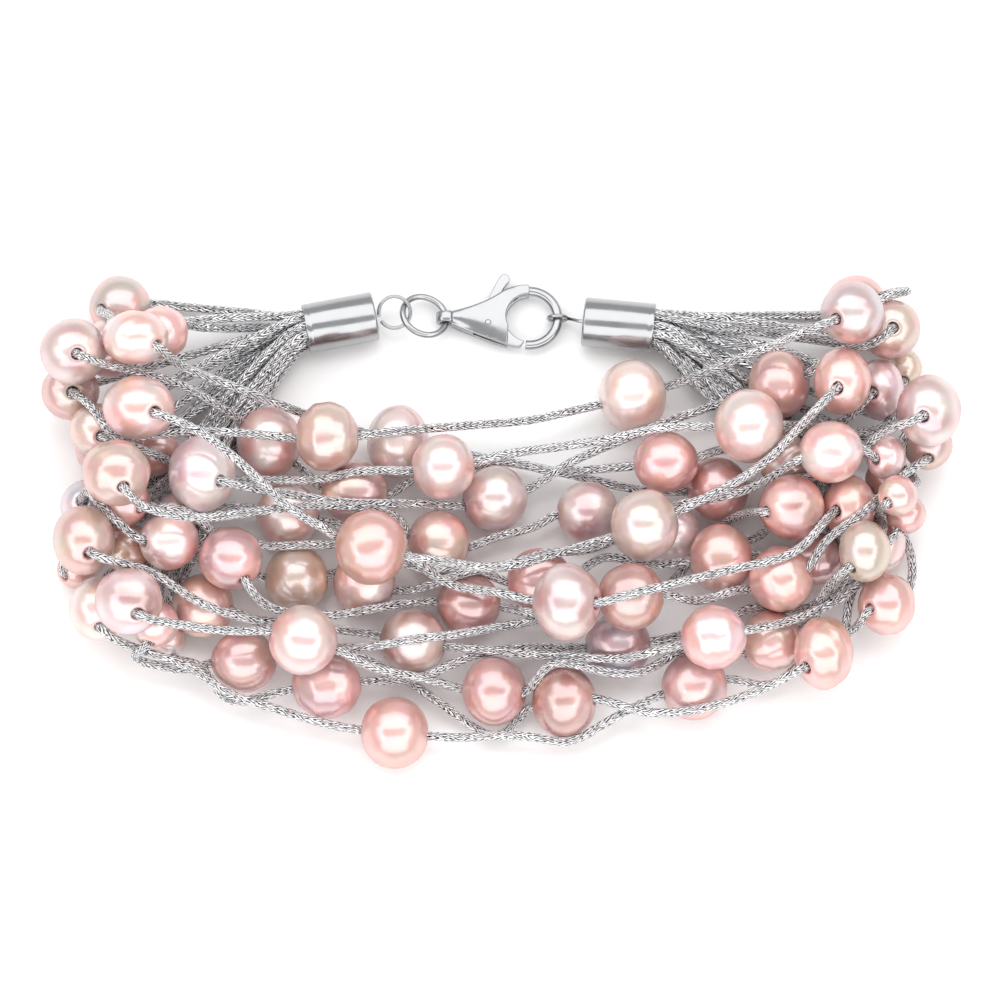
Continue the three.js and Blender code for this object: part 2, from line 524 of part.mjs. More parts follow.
// Stretches a round body about a pearl's centre to its width and height in the view.
function toOval(geometry, { across, up, centre }) {
  const radius = (across + up) / 2;
  const frame = new THREE.Matrix4().makeBasis(ACROSS, UP, TOWARDS).setPosition(centre);
  const stretch = new THREE.Matrix4().makeScale(across / radius, up / radius, 1);
  return geometry.applyMatrix4(frame.clone().invert()).applyMatrix4(frame.multiply(stretch));
}

// ---------------------------------------------------------------- building: strands

// The half circle of a pearl's outline, between two places near its poles.
function pearlOutline(radius, from, to, steps) {
  return Array.from({ length: steps + 1 }, (_, i) => {
    const angle = THREE.MathUtils.lerp(from, to, i / steps);
    return new THREE.Vector2(radius * Math.sin(angle), -radius * Math.cos(angle));
  });
}

function drilledPearl(station) {
  const radius = (station.across + station.up) / 2;
  const edge = Math.asin(DRILL_RADIUS / radius);
  const outline = pearlOutline(radius, edge, Math.PI - edge, 4);
  const body = new THREE.LatheGeometry([...outline, outline[0].clone()], PEARL_SIDES);
  return toOval(standAlong(body, station.drill, station.centre), station);
}

function solidPearl(station) {
  const outline = pearlOutline((station.across + station.up) / 2, 0, Math.PI, 4);
  const body = new THREE.LatheGeometry(outline, PEARL_SIDES - 2);
  return toOval(standAlong(body, station.drill, station.centre), station);
}

function buildStrand(strand, nodes, number) {
  const cord = tube(nodes.map((node) => node.p), CORD_RADIUS, CORD_SIDES);
  const withBackPearls = strand.stations.filter((station) => station.across && !station.own);
  add(`strand_${number}`, fromSolid(join(cord, ...withBackPearls.map(solidPearl))), 'cord');
  strand.stations.filter((station) => station.own).forEach((station, i) => {
    add(`pearl_${number}_${i + 1}`, drilledPearl(station), 'pearl');
  });
}

// ---------------------------------------------------------------- building: end caps

// A cap is a cup around its axis: open at y = 0, closed at y = CAP_LENGTH but for the pin's hole.
function endCap() {
  const inner = CAP_RADIUS - CAP_WALL;
  const floor = CAP_LENGTH - CAP_WALL * 1.5;
  return new THREE.LatheGeometry([
    new THREE.Vector2(inner, 0), new THREE.Vector2(CAP_RADIUS, 0),
    new THREE.Vector2(CAP_RADIUS, CAP_LENGTH - 0.15), new THREE.Vector2(CAP_RADIUS - 0.15, CAP_LENGTH),
    new THREE.Vector2(CAP_HOLE_RADIUS, CAP_LENGTH), new THREE.Vector2(CAP_HOLE_RADIUS, floor),
    new THREE.Vector2(inner, floor), new THREE.Vector2(inner, 0),
  ], CAP_SIDES);
}

function rod(radius, length, sides) {
  return new THREE.LatheGeometry([
    new THREE.Vector2(0, 0), new THREE.Vector2(radius, 0),
    new THREE.Vector2(radius, length), new THREE.Vector2(0, length),
  ], sides);
}

function buildCap(side) {
  const { centre, inward } = CAPS[side];
  const mouth = centre.clone().addScaledVector(inward, -CAP_LENGTH / 2);
  const alongCap = (distance) => mouth.clone().addScaledVector(inward, distance);
  add(`${side}_end_cap`, standAlong(endCap(), inward, mouth), 'silver');
  const plug = rod(CAP_RADIUS - CAP_WALL - 0.12, PLUG_LENGTH, CAP_SIDES);
  add(`${side}_resin_plug`, standAlong(plug, inward, alongCap(CORD_IN_CAP + PLUG_GAP)), 'resin');
}

// An eye pin: its head inside the cap, its shank through the cap's hole and its eye outside.
function buildEyePin(side, eyePoints) {
  const { centre, inward } = CAPS[side];
  const head = centre.clone().addScaledVector(inward, CAP_LENGTH / 2 - CAP_WALL * 1.5 - 0.15);
  const tail = head.clone().addScaledVector(inward, -PIN_HEAD_LENGTH / 2);
  const headDisc = standAlong(rod(PIN_HEAD_RADIUS, PIN_HEAD_LENGTH, 12), inward,
    head.clone().addScaledVector(inward, -PIN_HEAD_LENGTH));
  const wire = tube([tail, ...eyePoints], PIN_RADIUS, 6);
  add(`${side}_eye_pin`, fromSolid(join(headDisc, wire)), 'silver');
}

// Points round part of a circle, from one angle to another, in the plane of two directions.
function arc(centre, radius, first, second, from, to, steps) {
  return Array.from({ length: steps + 1 }, (_, i) => {
    const angle = THREE.MathUtils.degToRad(THREE.MathUtils.lerp(from, to, i / steps));
    return centre.clone().addScaledVector(first, radius * Math.cos(angle))
      .addScaledVector(second, radius * Math.sin(angle));
  });
}

const EYE_RADIUS = 1.6; // of the left pin's eye, to the middle of its wire
const EYE_TILT = THREE.MathUtils.degToRad(17); // the linked rings lean opposite ways
const SMALL_EYE_RADIUS = 0.95;
const CAP_END = CAP_LENGTH / 2;
const CLASP_CENTRE = new THREE.Vector3(3, 20.86, CLASP_THICKNESS / 2);
const SMALL_EYE_CENTRE = new THREE.Vector3(
  CLASP_CENTRE.x + (HOOK_INNER + HOOK_OUTER) / 2, CLASP_CENTRE.y, CLASP_CENTRE.z,
);

function leftEye() {
  const { centre, inward } = CAPS.left;
  const out = centre.clone().addScaledVector(inward, CAP_END + 0.1);
  const middle = centre.clone().addScaledVector(inward, CAP_END + 0.36 + EYE_RADIUS);
  const side = new THREE.Vector3(-inward.y, inward.x, 0).multiplyScalar(Math.cos(EYE_TILT))
    .add(new THREE.Vector3(0, 0, Math.sin(EYE_TILT)));
  return [out, ...arc(middle, EYE_RADIUS, inward, side, 180, 180 - 338, 14)];
}

function rightEye() {
  const { centre, inward } = CAPS.right;
  const out = centre.clone().addScaledVector(inward, CAP_END + 0.3);
  const right = new THREE.Vector3(1, 0, 0);
  const rise = new THREE.Vector3(0, 0, 1);
  return [out, ...arc(SMALL_EYE_CENTRE, SMALL_EYE_RADIUS, right, rise, 0, 335, 12)];
}

// ---------------------------------------------------------------- building: clasp

const KNUCKLE_CENTRE = new THREE.Vector3(CLASP_CENTRE.x - 8.45, CLASP_CENTRE.y, CLASP_CENTRE.z);
const RING_LEFT = new THREE.Vector3(-9.87, 20.95, 2.62); // where the jump ring crosses the left eye

function jumpRing() {
  const across = new THREE.Vector3().subVectors(KNUCKLE_CENTRE, RING_LEFT);
  const centre = RING_LEFT.clone().addScaledVector(across, 0.5);
  across.normalize();
  const side = new THREE.Vector3(0, 1, 0).applyAxisAngle(across, -EYE_TILT);
  const normal = new THREE.Vector3().crossVectors(across, side).normalize();
  const profile = ring(6, RING_WIRE).map((p) => new THREE.Vector2(RING_RADIUS + p.x, p.y));
  const body = new THREE.LatheGeometry([...profile, profile[0].clone()], 20);
  return standAlong(body, normal, centre);
}

// A flat shape in the clasp's own plane, given about the hook's centre, with a thickness.
function plate(shape, thickness, bevel = 0) {
  const body = new THREE.ExtrudeGeometry(shape, {
    depth: thickness - 2 * bevel,
    curveSegments: 7,
    bevelEnabled: bevel > 0,
    bevelThickness: bevel,
    bevelSize: bevel,
    bevelOffset: -bevel,
    bevelSegments: 1,
  });
  return body.translate(CLASP_CENTRE.x, CLASP_CENTRE.y, CLASP_CENTRE.z - thickness / 2 + bevel);
}

const radians = THREE.MathUtils.degToRad;
const PIVOT = new THREE.Vector2(-4.2, -0.75); // of the lever, from the hook's centre
const TIP_ANGLE = 262; // where the hook's arm ends, round its circle

// The drop-shaped body: from the tail along its rear side to the hook, round the opening and back.
function bodyShape() {
  const shape = new THREE.Shape();
  shape.moveTo(-7.9, 0.55);
  shape.quadraticCurveTo(-4.6, 1.7, -2.6, 3.0);
  shape.quadraticCurveTo(-1.5, 3.5, 0, HOOK_OUTER);
  shape.absarc(0, 0, HOOK_INNER, radians(90), radians(205), false);
  shape.lineTo(-2.3, -2.95);
  shape.quadraticCurveTo(-4.4, -2.35, -7.9, -0.75);
  return shape;
}

// The arm of the hook, over the top and round to its slanting tip.
function hookShape() {
  const shape = new THREE.Shape();
  shape.moveTo(-0.4, HOOK_OUTER - 0.03);
  shape.absarc(0, 0, HOOK_OUTER, radians(90), radians(TIP_ANGLE - 364), true);
  shape.lineTo(HOOK_INNER * Math.cos(radians(TIP_ANGLE + 5)), HOOK_INNER * Math.sin(radians(TIP_ANGLE + 5)));
  shape.absarc(0, 0, HOOK_INNER, radians(TIP_ANGLE - 355), radians(90), false);
  shape.lineTo(-0.4, HOOK_INNER + 0.1);
  return shape;
}

// The sprung lever: its gate closes the opening, and its thumb tab stands out at the rear.
function leverShape() {
  const shape = new THREE.Shape();
  shape.moveTo(-4.7, -1.4);
  shape.quadraticCurveTo(-2.6, -3.1, -0.95, -3.12);
  shape.lineTo(-0.52, -2.42);
  shape.absarc(0, 0, HOOK_INNER + 0.12, radians(258), radians(212), true);
  shape.quadraticCurveTo(-3.2, -0.3, -3.25, 0.6);
  shape.quadraticCurveTo(-3.2, 2.6, -2.1, 3.75);
  shape.absarc(-2.55, 4.1, 0.55, radians(-20), radians(140), false);
  shape.quadraticCurveTo(-4.6, 1.6, -5.0, -0.5);
  return shape;
}

const circle = (centre, radius) => {
  const shape = new THREE.Shape();
  shape.absarc(centre.x, centre.y, radius, 0, 2 * Math.PI, false);
  return shape;
};

function claspBody() {
  const slot = new THREE.BoxGeometry(4.3, 9, SLOT_HEIGHT)
    .translate(CLASP_CENTRE.x - 3.75, CLASP_CENTRE.y, CLASP_CENTRE.z);
  const rivetHole = plate(circle(PIVOT, RIVET_RADIUS + RUNNING_GAP), 2 * CLASP_THICKNESS);
  const knuckle = standAlong(rod(KNUCKLE_RADIUS, KNUCKLE_WIDTH, 16), new THREE.Vector3(0, 1, 0),
    KNUCKLE_CENTRE.clone().add(new THREE.Vector3(0, -KNUCKLE_WIDTH / 2, 0)));
  const bore = standAlong(rod(KNUCKLE_BORE, 4, 12), new THREE.Vector3(0, 1, 0),
    KNUCKLE_CENTRE.clone().add(new THREE.Vector3(0, -2, 0)));
  const solid = toSolid(plate(bodyShape(), CLASP_THICKNESS, 0.2))
    .add(toSolid(knuckle))
    .subtract(toSolid(slot))
    .add(toSolid(plate(hookShape(), HOOK_THICKNESS, 0.2)))
    .subtract(toSolid(bore))
    .subtract(toSolid(rivetHole));
  return fromSolid(solid);
}

function claspLever() {
  const hole = plate(circle(PIVOT, RIVET_RADIUS + RUNNING_GAP), CLASP_THICKNESS);
  return fromSolid(toSolid(plate(leverShape(), LEVER_THICKNESS)).subtract(toSolid(hole)));
}

// ---------------------------------------------------------------- the bracelet

stackPearls();
const cords = STRANDS.map(cordNodes);
settleCords(cords);
STRANDS.forEach((strand, i) => buildStrand(strand, cords[i], String(i + 1).padStart(2, '0')));
buildCap('left');
buildCap('right');
buildEyePin('left', leftEye());
buildEyePin('right', rightEye());
add('jump_ring', jumpRing(), 'silver');
add('clasp_body', claspBody(), 'silver');
add('clasp_lever', claspLever(), 'silver');
add('clasp_rivet', plate(circle(PIVOT, RIVET_RADIUS), CLASP_THICKNESS - 0.2), 'silver');

// The part's origin is the middle of its underside.
const box = new THREE.Box3().setFromObject(group);
const middle = box.getCenter(new THREE.Vector3());
for (const piece of group.children) piece.geometry.translate(-middle.x, -middle.y, -box.min.z);

export default group;
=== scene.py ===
import math
from dataclasses import dataclass

import bmesh
import bpy
import numpy as np
from mathutils import Matrix, Vector, noise


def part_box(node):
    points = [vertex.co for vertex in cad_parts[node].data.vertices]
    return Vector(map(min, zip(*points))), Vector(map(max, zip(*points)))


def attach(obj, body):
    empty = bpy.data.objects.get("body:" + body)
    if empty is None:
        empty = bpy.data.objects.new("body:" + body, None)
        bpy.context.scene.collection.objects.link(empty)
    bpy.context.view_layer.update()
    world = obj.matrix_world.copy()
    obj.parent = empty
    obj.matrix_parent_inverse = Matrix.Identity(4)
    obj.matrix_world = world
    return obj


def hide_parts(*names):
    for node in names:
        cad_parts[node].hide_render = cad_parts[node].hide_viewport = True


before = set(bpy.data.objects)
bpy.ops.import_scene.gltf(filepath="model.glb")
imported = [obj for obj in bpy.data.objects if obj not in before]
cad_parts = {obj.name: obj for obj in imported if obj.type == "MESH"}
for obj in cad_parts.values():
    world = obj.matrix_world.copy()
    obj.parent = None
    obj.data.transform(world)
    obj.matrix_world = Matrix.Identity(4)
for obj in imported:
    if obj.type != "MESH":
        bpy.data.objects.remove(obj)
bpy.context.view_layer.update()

# ---------------------------------------------------------------- the camera

# The layout below is given as seen from the display side: x to the right and s up the view, in
# millimetres. TOWARDS points at the viewer, and a height z places a piece on the line of sight.
DISPLAY_TILT = math.radians(15)
ACROSS = np.array([1.0, 0.0, 0.0])
UP = np.array([0.0, math.cos(DISPLAY_TILT), math.sin(DISPLAY_TILT)])
TOWARDS = np.array([0.0, -math.sin(DISPLAY_TILT), math.cos(DISPLAY_TILT)])


def place(x, s, z):
    depth = (z - s * UP[2]) / TOWARDS[2]
    return x * ACROSS + s * UP + depth * TOWARDS


# The CAD model is centred on its box; the left cap's middle says by how much it was shifted.
LEFT_CAP_MIDDLE = np.array([-16.15, 20.03, 2.52])
cap_low, cap_high = (np.array(corner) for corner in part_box("left_end_cap"))
SHIFT = (cap_low + cap_high) / 2 * 1000 - LEFT_CAP_MIDDLE
SHIFT[2] = 0


def in_metres(point):
    return Vector((np.asarray(point) + SHIFT) / 1000)


VIEW_MIDDLE = in_metres(place(0, 2, 7))
LENS = 250
SENSOR_WIDTH = 36
VIEW_WIDTH = 0.1


def add_camera():
    camera_data = bpy.data.cameras.new("camera")
    camera_data.lens = LENS
    camera_data.sensor_width = SENSOR_WIDTH
    camera = bpy.data.objects.new("camera", camera_data)
    camera.location = VIEW_MIDDLE + Vector(TOWARDS) * (VIEW_WIDTH * LENS / SENSOR_WIDTH)
    camera.rotation_euler = (DISPLAY_TILT, 0, 0)
    bpy.context.collection.objects.link(camera)
    bpy.context.scene.camera = camera


add_camera()

# ---------------------------------------------------------------- the strands' layout

CORD_RADIUS = 0.4
LONGEST_STEP = 7
CLEARANCE = 0.14
CRAWL_SPACE = 2.0  # left under the pearls at the two edges, for cords that turn back there
EDGE_X = 27
CAP_LENGTH = 7.2
CAP_RADIUS = 2.5
CORD_IN_CAP = 1.5
CORD_PITCH = 0.91
ABOVE_TABLE = 0.02


@dataclass(eq=False)
class Station:
    """A bend of a strand or a pearl on it: across and up are the pearl's half widths."""

    x: float
    s: float
    z: float = 0
    across: float = 0
    up: float = 0
    layer: int = 0
    hole: tuple = None
    loose: bool = False
    own: bool = False
    centre: np.ndarray = None
    drill: np.ndarray = None
    tints: str = ""


@dataclass
class Strand:
    left: int
    right: int
    stations: list
    tints: str


def bend(x, s, z):
    """A place where a cord is seen."""
    return Station(x, s, z)


def loose(x, s, z):
    """A hidden place of a cord, which may move freely."""
    return Station(x, s, z, loose=True)


def pearl(x, s, across, up, layer, hole=None):
    """A pearl with a node of its own."""
    return Station(x, s, across=across, up=up, layer=layer, hole=hole, own=True)


def back(x, s, across, up, layer, hole=None):
    """A pearl that belongs to its strand's node."""
    return Station(x, s, across=across, up=up, layer=layer, hole=hole)


# Each strand: its place in the left fan and the right fan, its stations, and its pearls' colours as
# body and overtone.
STRANDS = [
    Strand(4, 0, [
        loose(-37, 13, 0.8), loose(-41.3, 10.5, 2), back(-40.4, 9, 2.7, 2.7, 2, [0.7, -0.7]),
        bend(-36.5, 8.4, 8), bend(-30, 8.7, 6.5), bend(-26.5, 8.7, 7.2), bend(-23.3, 8.5, 7.9),
        pearl(-17.3, 8.3, 3.2, 3.5, 2), bend(-10.3, 8.9, 8), bend(-5.5, 9.3, 7),
        bend(3, 10, 4.6), pearl(13.4, 12.5, 3.4, 3.7, 1), bend(19, 14.2, 4.6), bend(26.5, 17.2, 6),
        back(35.2, 20.7, 3.2, 3.2, 4, [-1.8, -0.7]), bend(39.4, 21.7, 5.4), bend(42, 23.1, 4.6),
        bend(39.6, 23, 4.6), back(36.1, 21.7, 3.1, 3.1, 0, [2, 0.8]),
    ], "cream/pale_pink peach/cream pale_peach/white silver_lilac/rose peach/pink"),
    Strand(0, 5, [
        loose(-35.5, 21.4, 1), back(-38.5, 21.6, 3.1, 3.1, 0, [-1.9, -0.4]),
        bend(-38.9, 20.2, 9), back(-36.3, 18.2, 3.3, 2.7, 3, [2.2, -0.9]), bend(-32, 15.4, 7),
        bend(-26.8, 13.4, 5), bend(-19.5, 10.6, 3.6), pearl(-10.3, 7.9, 3.1, 3.7, 0),
        bend(-5.7, 7, 3), bend(4, 5.2, 2.6), bend(14, 3, 2.6), pearl(21.9, 3.1, 3.1, 3.2, 0),
        bend(25.5, 3.8, 4), bend(32, 6.2, 9), back(42.8, 10.9, 3.2, 3.6, 3, [-0.8, -0.6]),
        loose(43.5, 11.8, 3), back(38.6, 4.2, 1.9, 1.9, 1), loose(35.5, 7, 0.7),
    ], "silver_cream/pink pale_pink/white pale_mauve/white deep_pink/rose white_pink/mauve pink/rose"),
    Strand(1, 3, [
        back(-39.2, 17.3, 3, 3, 0), loose(-43.6, 17.1, 3.6), back(-42.6, 16.8, 3.3, 3.3, 2, [0.6, -0.3]),
        bend(-39, 15.4, 11), bend(-33, 14, 8.6), bend(-29.5, 12.3, 6), bend(-26.3, 10.2, 4.4),
        back(-23.3, 7.8, 3.3, 3.6, 0), bend(-19.8, 5.2, 3), pearl(-14.6, 2.8, 3.4, 3.2, 0),
        bend(-9.5, 3.9, 3), bend(-4, 4.3, 2.2), bend(5, 5, 2.6), pearl(16.6, 5.8, 3.3, 3.1, 1),
        bend(21, 6.9, 3.6), bend(28.5, 8, 5), bend(34, 9.8, 8), back(38.2, 13.2, 2.5, 3, 2, [-0.9, -0.4]),
        loose(41.5, 14.5, 1.5), loose(37, 15.5, 0.7),
    ], "pink/white white_pink/mauve pink/white mauve/gold deep_pink/rose lilac/rose"),
    Strand(5, 4, [
        loose(-38, 10.5, 0.7), loose(-40.3, 7.6, 1), back(-34.8, 7, 2.6, 2.6, 1), bend(-31.5, 4.6, 3),
        bend(-26.4, 4, 3), bend(-18, 4, 4), bend(-11, 5, 6.6), pearl(-5.7, 5.3, 3.2, 3.3, 2),
        bend(-1, 6.3, 6), bend(11, 8.1, 6), bend(16.6, 9.3, 7.4), pearl(24.9, 9.4, 3.5, 3.7, 2),
        bend(30.5, 9.6, 8), bend(36, 8.9, 7), back(40.8, 15.4, 1.9, 1.9, 0), loose(36.5, 18, 1.5),
    ], "pink/rose white_pink/pink white_pink/pink cream_yellow/cream"),
    Strand(3, 1, [
        loose(-38, 15.5, 0.8), loose(-42.5, 13.4, 0.8), back(-43.2, 12.9, 2.9, 2.9, 1, [0.4, -0.1]),
        bend(-40.9, 10.6, 11), bend(-38.8, 9.2, 12), bend(-36.5, 7.6, 11.5), bend(-34, 6.4, 9.5),
        back(-29.8, 4.6, 3.4, 3.8, 2, [2.2, -0.7]), bend(-24.5, 3.1, 6), bend(-16, 1.8, 7),
        bend(-8, 1.6, 5), pearl(-0.5, 2.2, 3.3, 3.3, 0), bend(7, 5.2, 3.6), bend(11.5, 7.8, 3.6),
        bend(16, 9.8, 3), bend(21.3, 11.4, 3), back(28.1, 13.6, 3.1, 3.5, 1), bend(34, 15.8, 9),
        bend(38, 17.8, 11.6), back(39.3, 19.2, 3, 3, 2, [0.1, 0.1]), loose(38.5, 19.5, 1),
    ], "peach/cream lilac/white white_pink/mauve peach/pink peach/cream"),
    Strand(2, 2, [
        back(-34, 18.8, 2.7, 2.7, 0), loose(-37.8, 15.4, 5), loose(-38.8, 12.6, 5.5),
        back(-36, 11.2, 3.6, 3.2, 3, [1.8, -0.5]), bend(-30, 9, 9.4), bend(-26.8, 6.6, 8),
        bend(-23.8, 3.9, 8), bend(-20.5, 0.8, 7.6), bend(-16.2, -1.4, 6.6), pearl(-12.8, -2.7, 3.6, 3.8, 2),
        bend(-6.2, -4, 7), bend(0, -4.8, 6), bend(6, -3.2, 6), pearl(14.4, -0.5, 3.4, 3.6, 2),
        bend(19.5, 1.8, 7.4), bend(22.5, 3.2, 7.6), bend(26.5, 6.2, 9.6), bend(30.8, 10.4, 11),
        back(34.3, 13.9, 2.9, 3.4, 3, [-0.7, -0.7]), loose(36, 16.5, 1.6),
    ], "pink/white white_pink/pink bright_peach/peach cream_grey/cream peach/pink"),
    Strand(7, 6, [
        loose(-37.5, 8, 0.8), loose(-38.3, 5.4, 4), back(-38, 4.7, 3.4, 3.3, 3, [0.9, -1.5]),
        bend(-35.4, 1.4, 11), bend(-30, 0.2, 8), bend(-24, 0.9, 6.8), bend(-19.5, 1.4, 6),
        bend(-13, 1.2, 6.4), bend(-9.6, 0, 4), pearl(-6.2, -2.3, 3.1, 3.3, 0), bend(-1, -1.5, 3),
        bend(4, -0.5, 3), pearl(8.8, 0.8, 3.1, 3.1, 0), bend(13, -0.2, 2.6), back(17.3, -1.3, 2.8, 2.8, 0),
        bend(22, -2.6, 1.2), bend(26.6, -1.6, 1.4), back(28.8, 5.8, 2.8, 2.8, 1), loose(30.5, 10.5, 0.8),
    ], "peach/cream deep_pink/cream white_pink/mauve lilac/white pale_peach/cream"),
    Strand(6, 10, [
        loose(-35.5, 11, 0.8), loose(-39.5, 10.3, 2.2), back(-40.2, 7.1, 2.6, 2.6, 0),
        loose(-37, 3.5, 1.4), back(-32.2, 0.8, 2.1, 2.1, 1), bend(-27.8, 1.4, 2.4),
        back(-21.3, 0.5, 3.2, 3.3, 0), bend(-15.8, -0.7, 3), bend(-9.7, -4, 2.6), bend(-5.5, -6.3, 3),
        bend(0, -7.2, 6), pearl(6.6, -8.1, 3.4, 3.9, 3), bend(12, -7.6, 12), bend(17, -6.4, 9.6),
        bend(22.5, -5, 8.6), bend(28.5, -2.4, 8.8), back(34.9, 1.3, 2.7, 3.2, 1, [-1.6, -0.4]),
        back(39.6, 2.4, 2, 2, 1), loose(41, 5, 1), loose(36, 9, 1.9),
    ], "pink/mauve pink/white pale_pink/white white_pink/mauve peach/pink cream/pink"),
    Strand(8, 12, [
        loose(-38.5, 7, 0.7), loose(-41, 2, 0.8), back(-41.4, 1.4, 2.7, 2.7, 1, [-0.4, 0.5]),
        bend(-41.3, 3.4, 8.6), bend(-40.4, 1.6, 8.6), bend(-38, -1, 9.6), back(-33, -2.1, 3, 2.9, 2),
        bend(-28.3, -0.9, 4), bend(-24.2, -2.6, 2.4), bend(-19.5, -2.5, 1.6), bend(-12.5, -2.4, 1.2),
        bend(-3, -4.6, 1.2), pearl(4, -6, 3.3, 3.2, 0), bend(10, -3.6, 3), bend(15.5, -4.6, 3),
        pearl(22.1, -3.8, 3.2, 3.5, 1), bend(27, -3.6, 3), back(31.8, -3.9, 2.7, 2.7, 0),
        loose(37, -1, 0.8), loose(38.5, 6, 0.8),
    ], "silver_blue/lilac pink/white rose/deep_pink peach/deep_pink pink/mauve"),
    Strand(9, 8, [
        loose(-38.8, 6, 0.8), loose(-41.3, 3.8, 1.2), back(-37.5, 2, 2.6, 2.6, 1), bend(-32.5, -0.2, 7.6),
        back(-26.8, -3.8, 3.2, 3.2, 3, [1.5, -2.2]), bend(-23.4, -8.6, 6), bend(-17.5, -9.6, 4),
        bend(-10, -8.5, 3), pearl(-3.1, -8.4, 3.2, 3, 0), bend(3.3, -9.6, 3), pearl(13, -7.6, 3.3, 3.4, 1),
        bend(19.5, -8.2, 4.4), bend(23.8, -6.8, 5), pearl(28, -5.9, 3.2, 3.3, 2), bend(32.3, -3.7, 8.4),
        bend(36.2, -0.7, 9.6), bend(39, 2.4, 9.2), bend(41.7, 6, 6), back(43, 7.6, 2.5, 2.6, 1),
        loose(42, 11, 0.8),
    ], "mauve/pink mauve/pink rose/copper copper/peach peach/pink peach/cream"),
    Strand(11, 13, [
        loose(-38, 0, 0.7), back(-42.6, -5, 1.9, 1.9, 0), loose(-44.2, -3, 5.4),
        back(-41.4, -2, 3.1, 3.5, 3, [0.8, -1.3]), bend(-35, -5.4, 9.6), bend(-29.5, -8.4, 7.6),
        bend(-25, -9.8, 5), bend(-20, -10.4, 2.2), bend(-15.5, -11, 2.2), pearl(-8.7, -12.1, 3.3, 3.3, 0),
        bend(-3, -12.9, 3), bend(3, -13.5, 3), bend(12, -13.8, 5), pearl(21.2, -11.6, 3.3, 3.2, 1),
        bend(26.6, -10.6, 7.6), bend(31, -9.2, 7), bend(36, -7, 7), back(38.2, -2.6, 2.6, 2.8, 0),
        loose(39.6, 0.6, 0.9), loose(39, 8, 0.8),
    ], "peach/pink cream/peach white_pink/copper pink/lilac pink/white"),
    Strand(12, 11, [
        loose(-39, 0, 1.4), loose(-38.4, -5.6, 2), back(-36.7, -8, 3.4, 3.3, 4, [1, -1.3]),
        bend(-31.5, -10.3, 9), bend(-26, -11, 8.6), back(-19.5, -11.9, 3.4, 3.5, 3),
        bend(-13, -14.6, 6), bend(-7, -15.9, 3.6), pearl(-0.6, -17.1, 3.2, 3.5, 0), bend(5.4, -16.7, 7),
        bend(11, -16.2, 5), bend(19, -14.4, 1.8), back(27.1, -12.1, 3.1, 3.1, 0), loose(31.5, -9.4, 1),
        loose(36, -4.5, 0.8), back(40.6, 0.6, 2, 2, 0), loose(40.5, 5, 0.9), loose(38, 9, 0.8),
    ], "lilac/copper white_pink/pink rose/peach pink/cream pink/rose"),
    Strand(14, 15, [
        loose(-38, -1, 0.7), loose(-39.4, -5.5, 0.9), back(-40.1, -8.8, 3, 3.2, 1, [0.3, -1.9]),
        bend(-38, -12.2, 6), bend(-34, -13.3, 5), bend(-30.5, -14.8, 3.6), bend(-27, -17.4, 1.8),
        bend(-20, -19.4, 1.8), bend(-15, -20.7, 2.8), pearl(-10.5, -21.2, 3.4, 3.6, 0), bend(-4, -21.7, 3),
        bend(3, -21.2, 2.4), bend(10, -19.6, 2), pearl(19.4, -16.6, 3.3, 3.4, 0), bend(26, -15.6, 2),
        bend(31, -11.6, 1.4), bend(34.9, -10.4, 2.2), back(38.6, -8.4, 2.9, 3.1, 1, [-2, -0.5]),
        loose(40.5, -5.5, 0.8), loose(40, 8, 0.8),
    ], "pale_peach/white peach/pink mauve/pink peach/pink"),
    Strand(15, 9, [
        loose(-34.5, -4, 0.8), back(-34.4, -10.3, 2.4, 2.4, 1), bend(-37, -13.2, 2.6),
        bend(-34, -14.4, 1.6), bend(-30.5, -13.6, 1.6), pearl(-25.6, -14.1, 3.3, 3.1, 0),
        bend(-19, -13.2, 2), bend(-13.5, -12.9, 6), bend(-8.7, -12, 7.8), bend(-3.5, -11.3, 7),
        bend(3.3, -9.9, 3), bend(10, -8, 1.6), bend(15.5, -6.6, 1.4), bend(19.5, -1.2, 1.4),
        bend(23.2, 0, 7), bend(25, 0.8, 12.6), pearl(29.1, 1.3, 3.3, 3.2, 2, [-2.7, -0.5]),
        loose(34, 4, 1.2), loose(35, 9, 0.8),
    ], "white_pink/pink peach/mauve copper/pink"),
    Strand(16, 14, [
        loose(-33.5, -4, 0.8), back(-33.5, -12, 2, 2, 0), bend(-30, -15.6, 1.4), bend(-27, -18.2, 0.8),
        bend(-22.5, -17.2, 2.2), pearl(-17.3, -16.5, 3.5, 3.3, 0), bend(-8, -15.6, 2), bend(-3, -13.9, 1.8),
        bend(4, -12.7, 2), pearl(11.8, -12.5, 3.3, 3.3, 0), bend(18, -11.5, 2), bend(25, -9.4, 3),
        bend(31, -8.2, 4), back(36.3, -3.1, 2.6, 3.1, 3, [-1.7, -1.6]), loose(37.5, 1, 1),
        loose(38.5, 8, 1.4),
    ], "pink/white mauve/pink mauve/silver_blue cream_green/cream"),
    Strand(13, 16, [
        loose(-38, -4, 1.6), loose(-36, -9, 0.7), back(-29.7, -8.6, 3.1, 3.2, 0), bend(-23, -10.9, 3),
        bend(-17, -12.6, 2), bend(-12, -14.2, 2.4), bend(-5, -18.2, 1), bend(-0.5, -20.6, 1),
        pearl(6.4, -18.1, 3.2, 3.6, 0), bend(14, -19.1, 5), bend(19.4, -18.6, 7.6), bend(25, -17.2, 6.6),
        back(32.2, -13.2, 3, 3.6, 1, [-2.1, -1.4]), bend(34.9, -8.6, 1.4), loose(38.5, 0, 1), loose(40, 7, 1),
    ], "mauve/gold copper/peach peach/pink"),
    Strand(10, 7, [
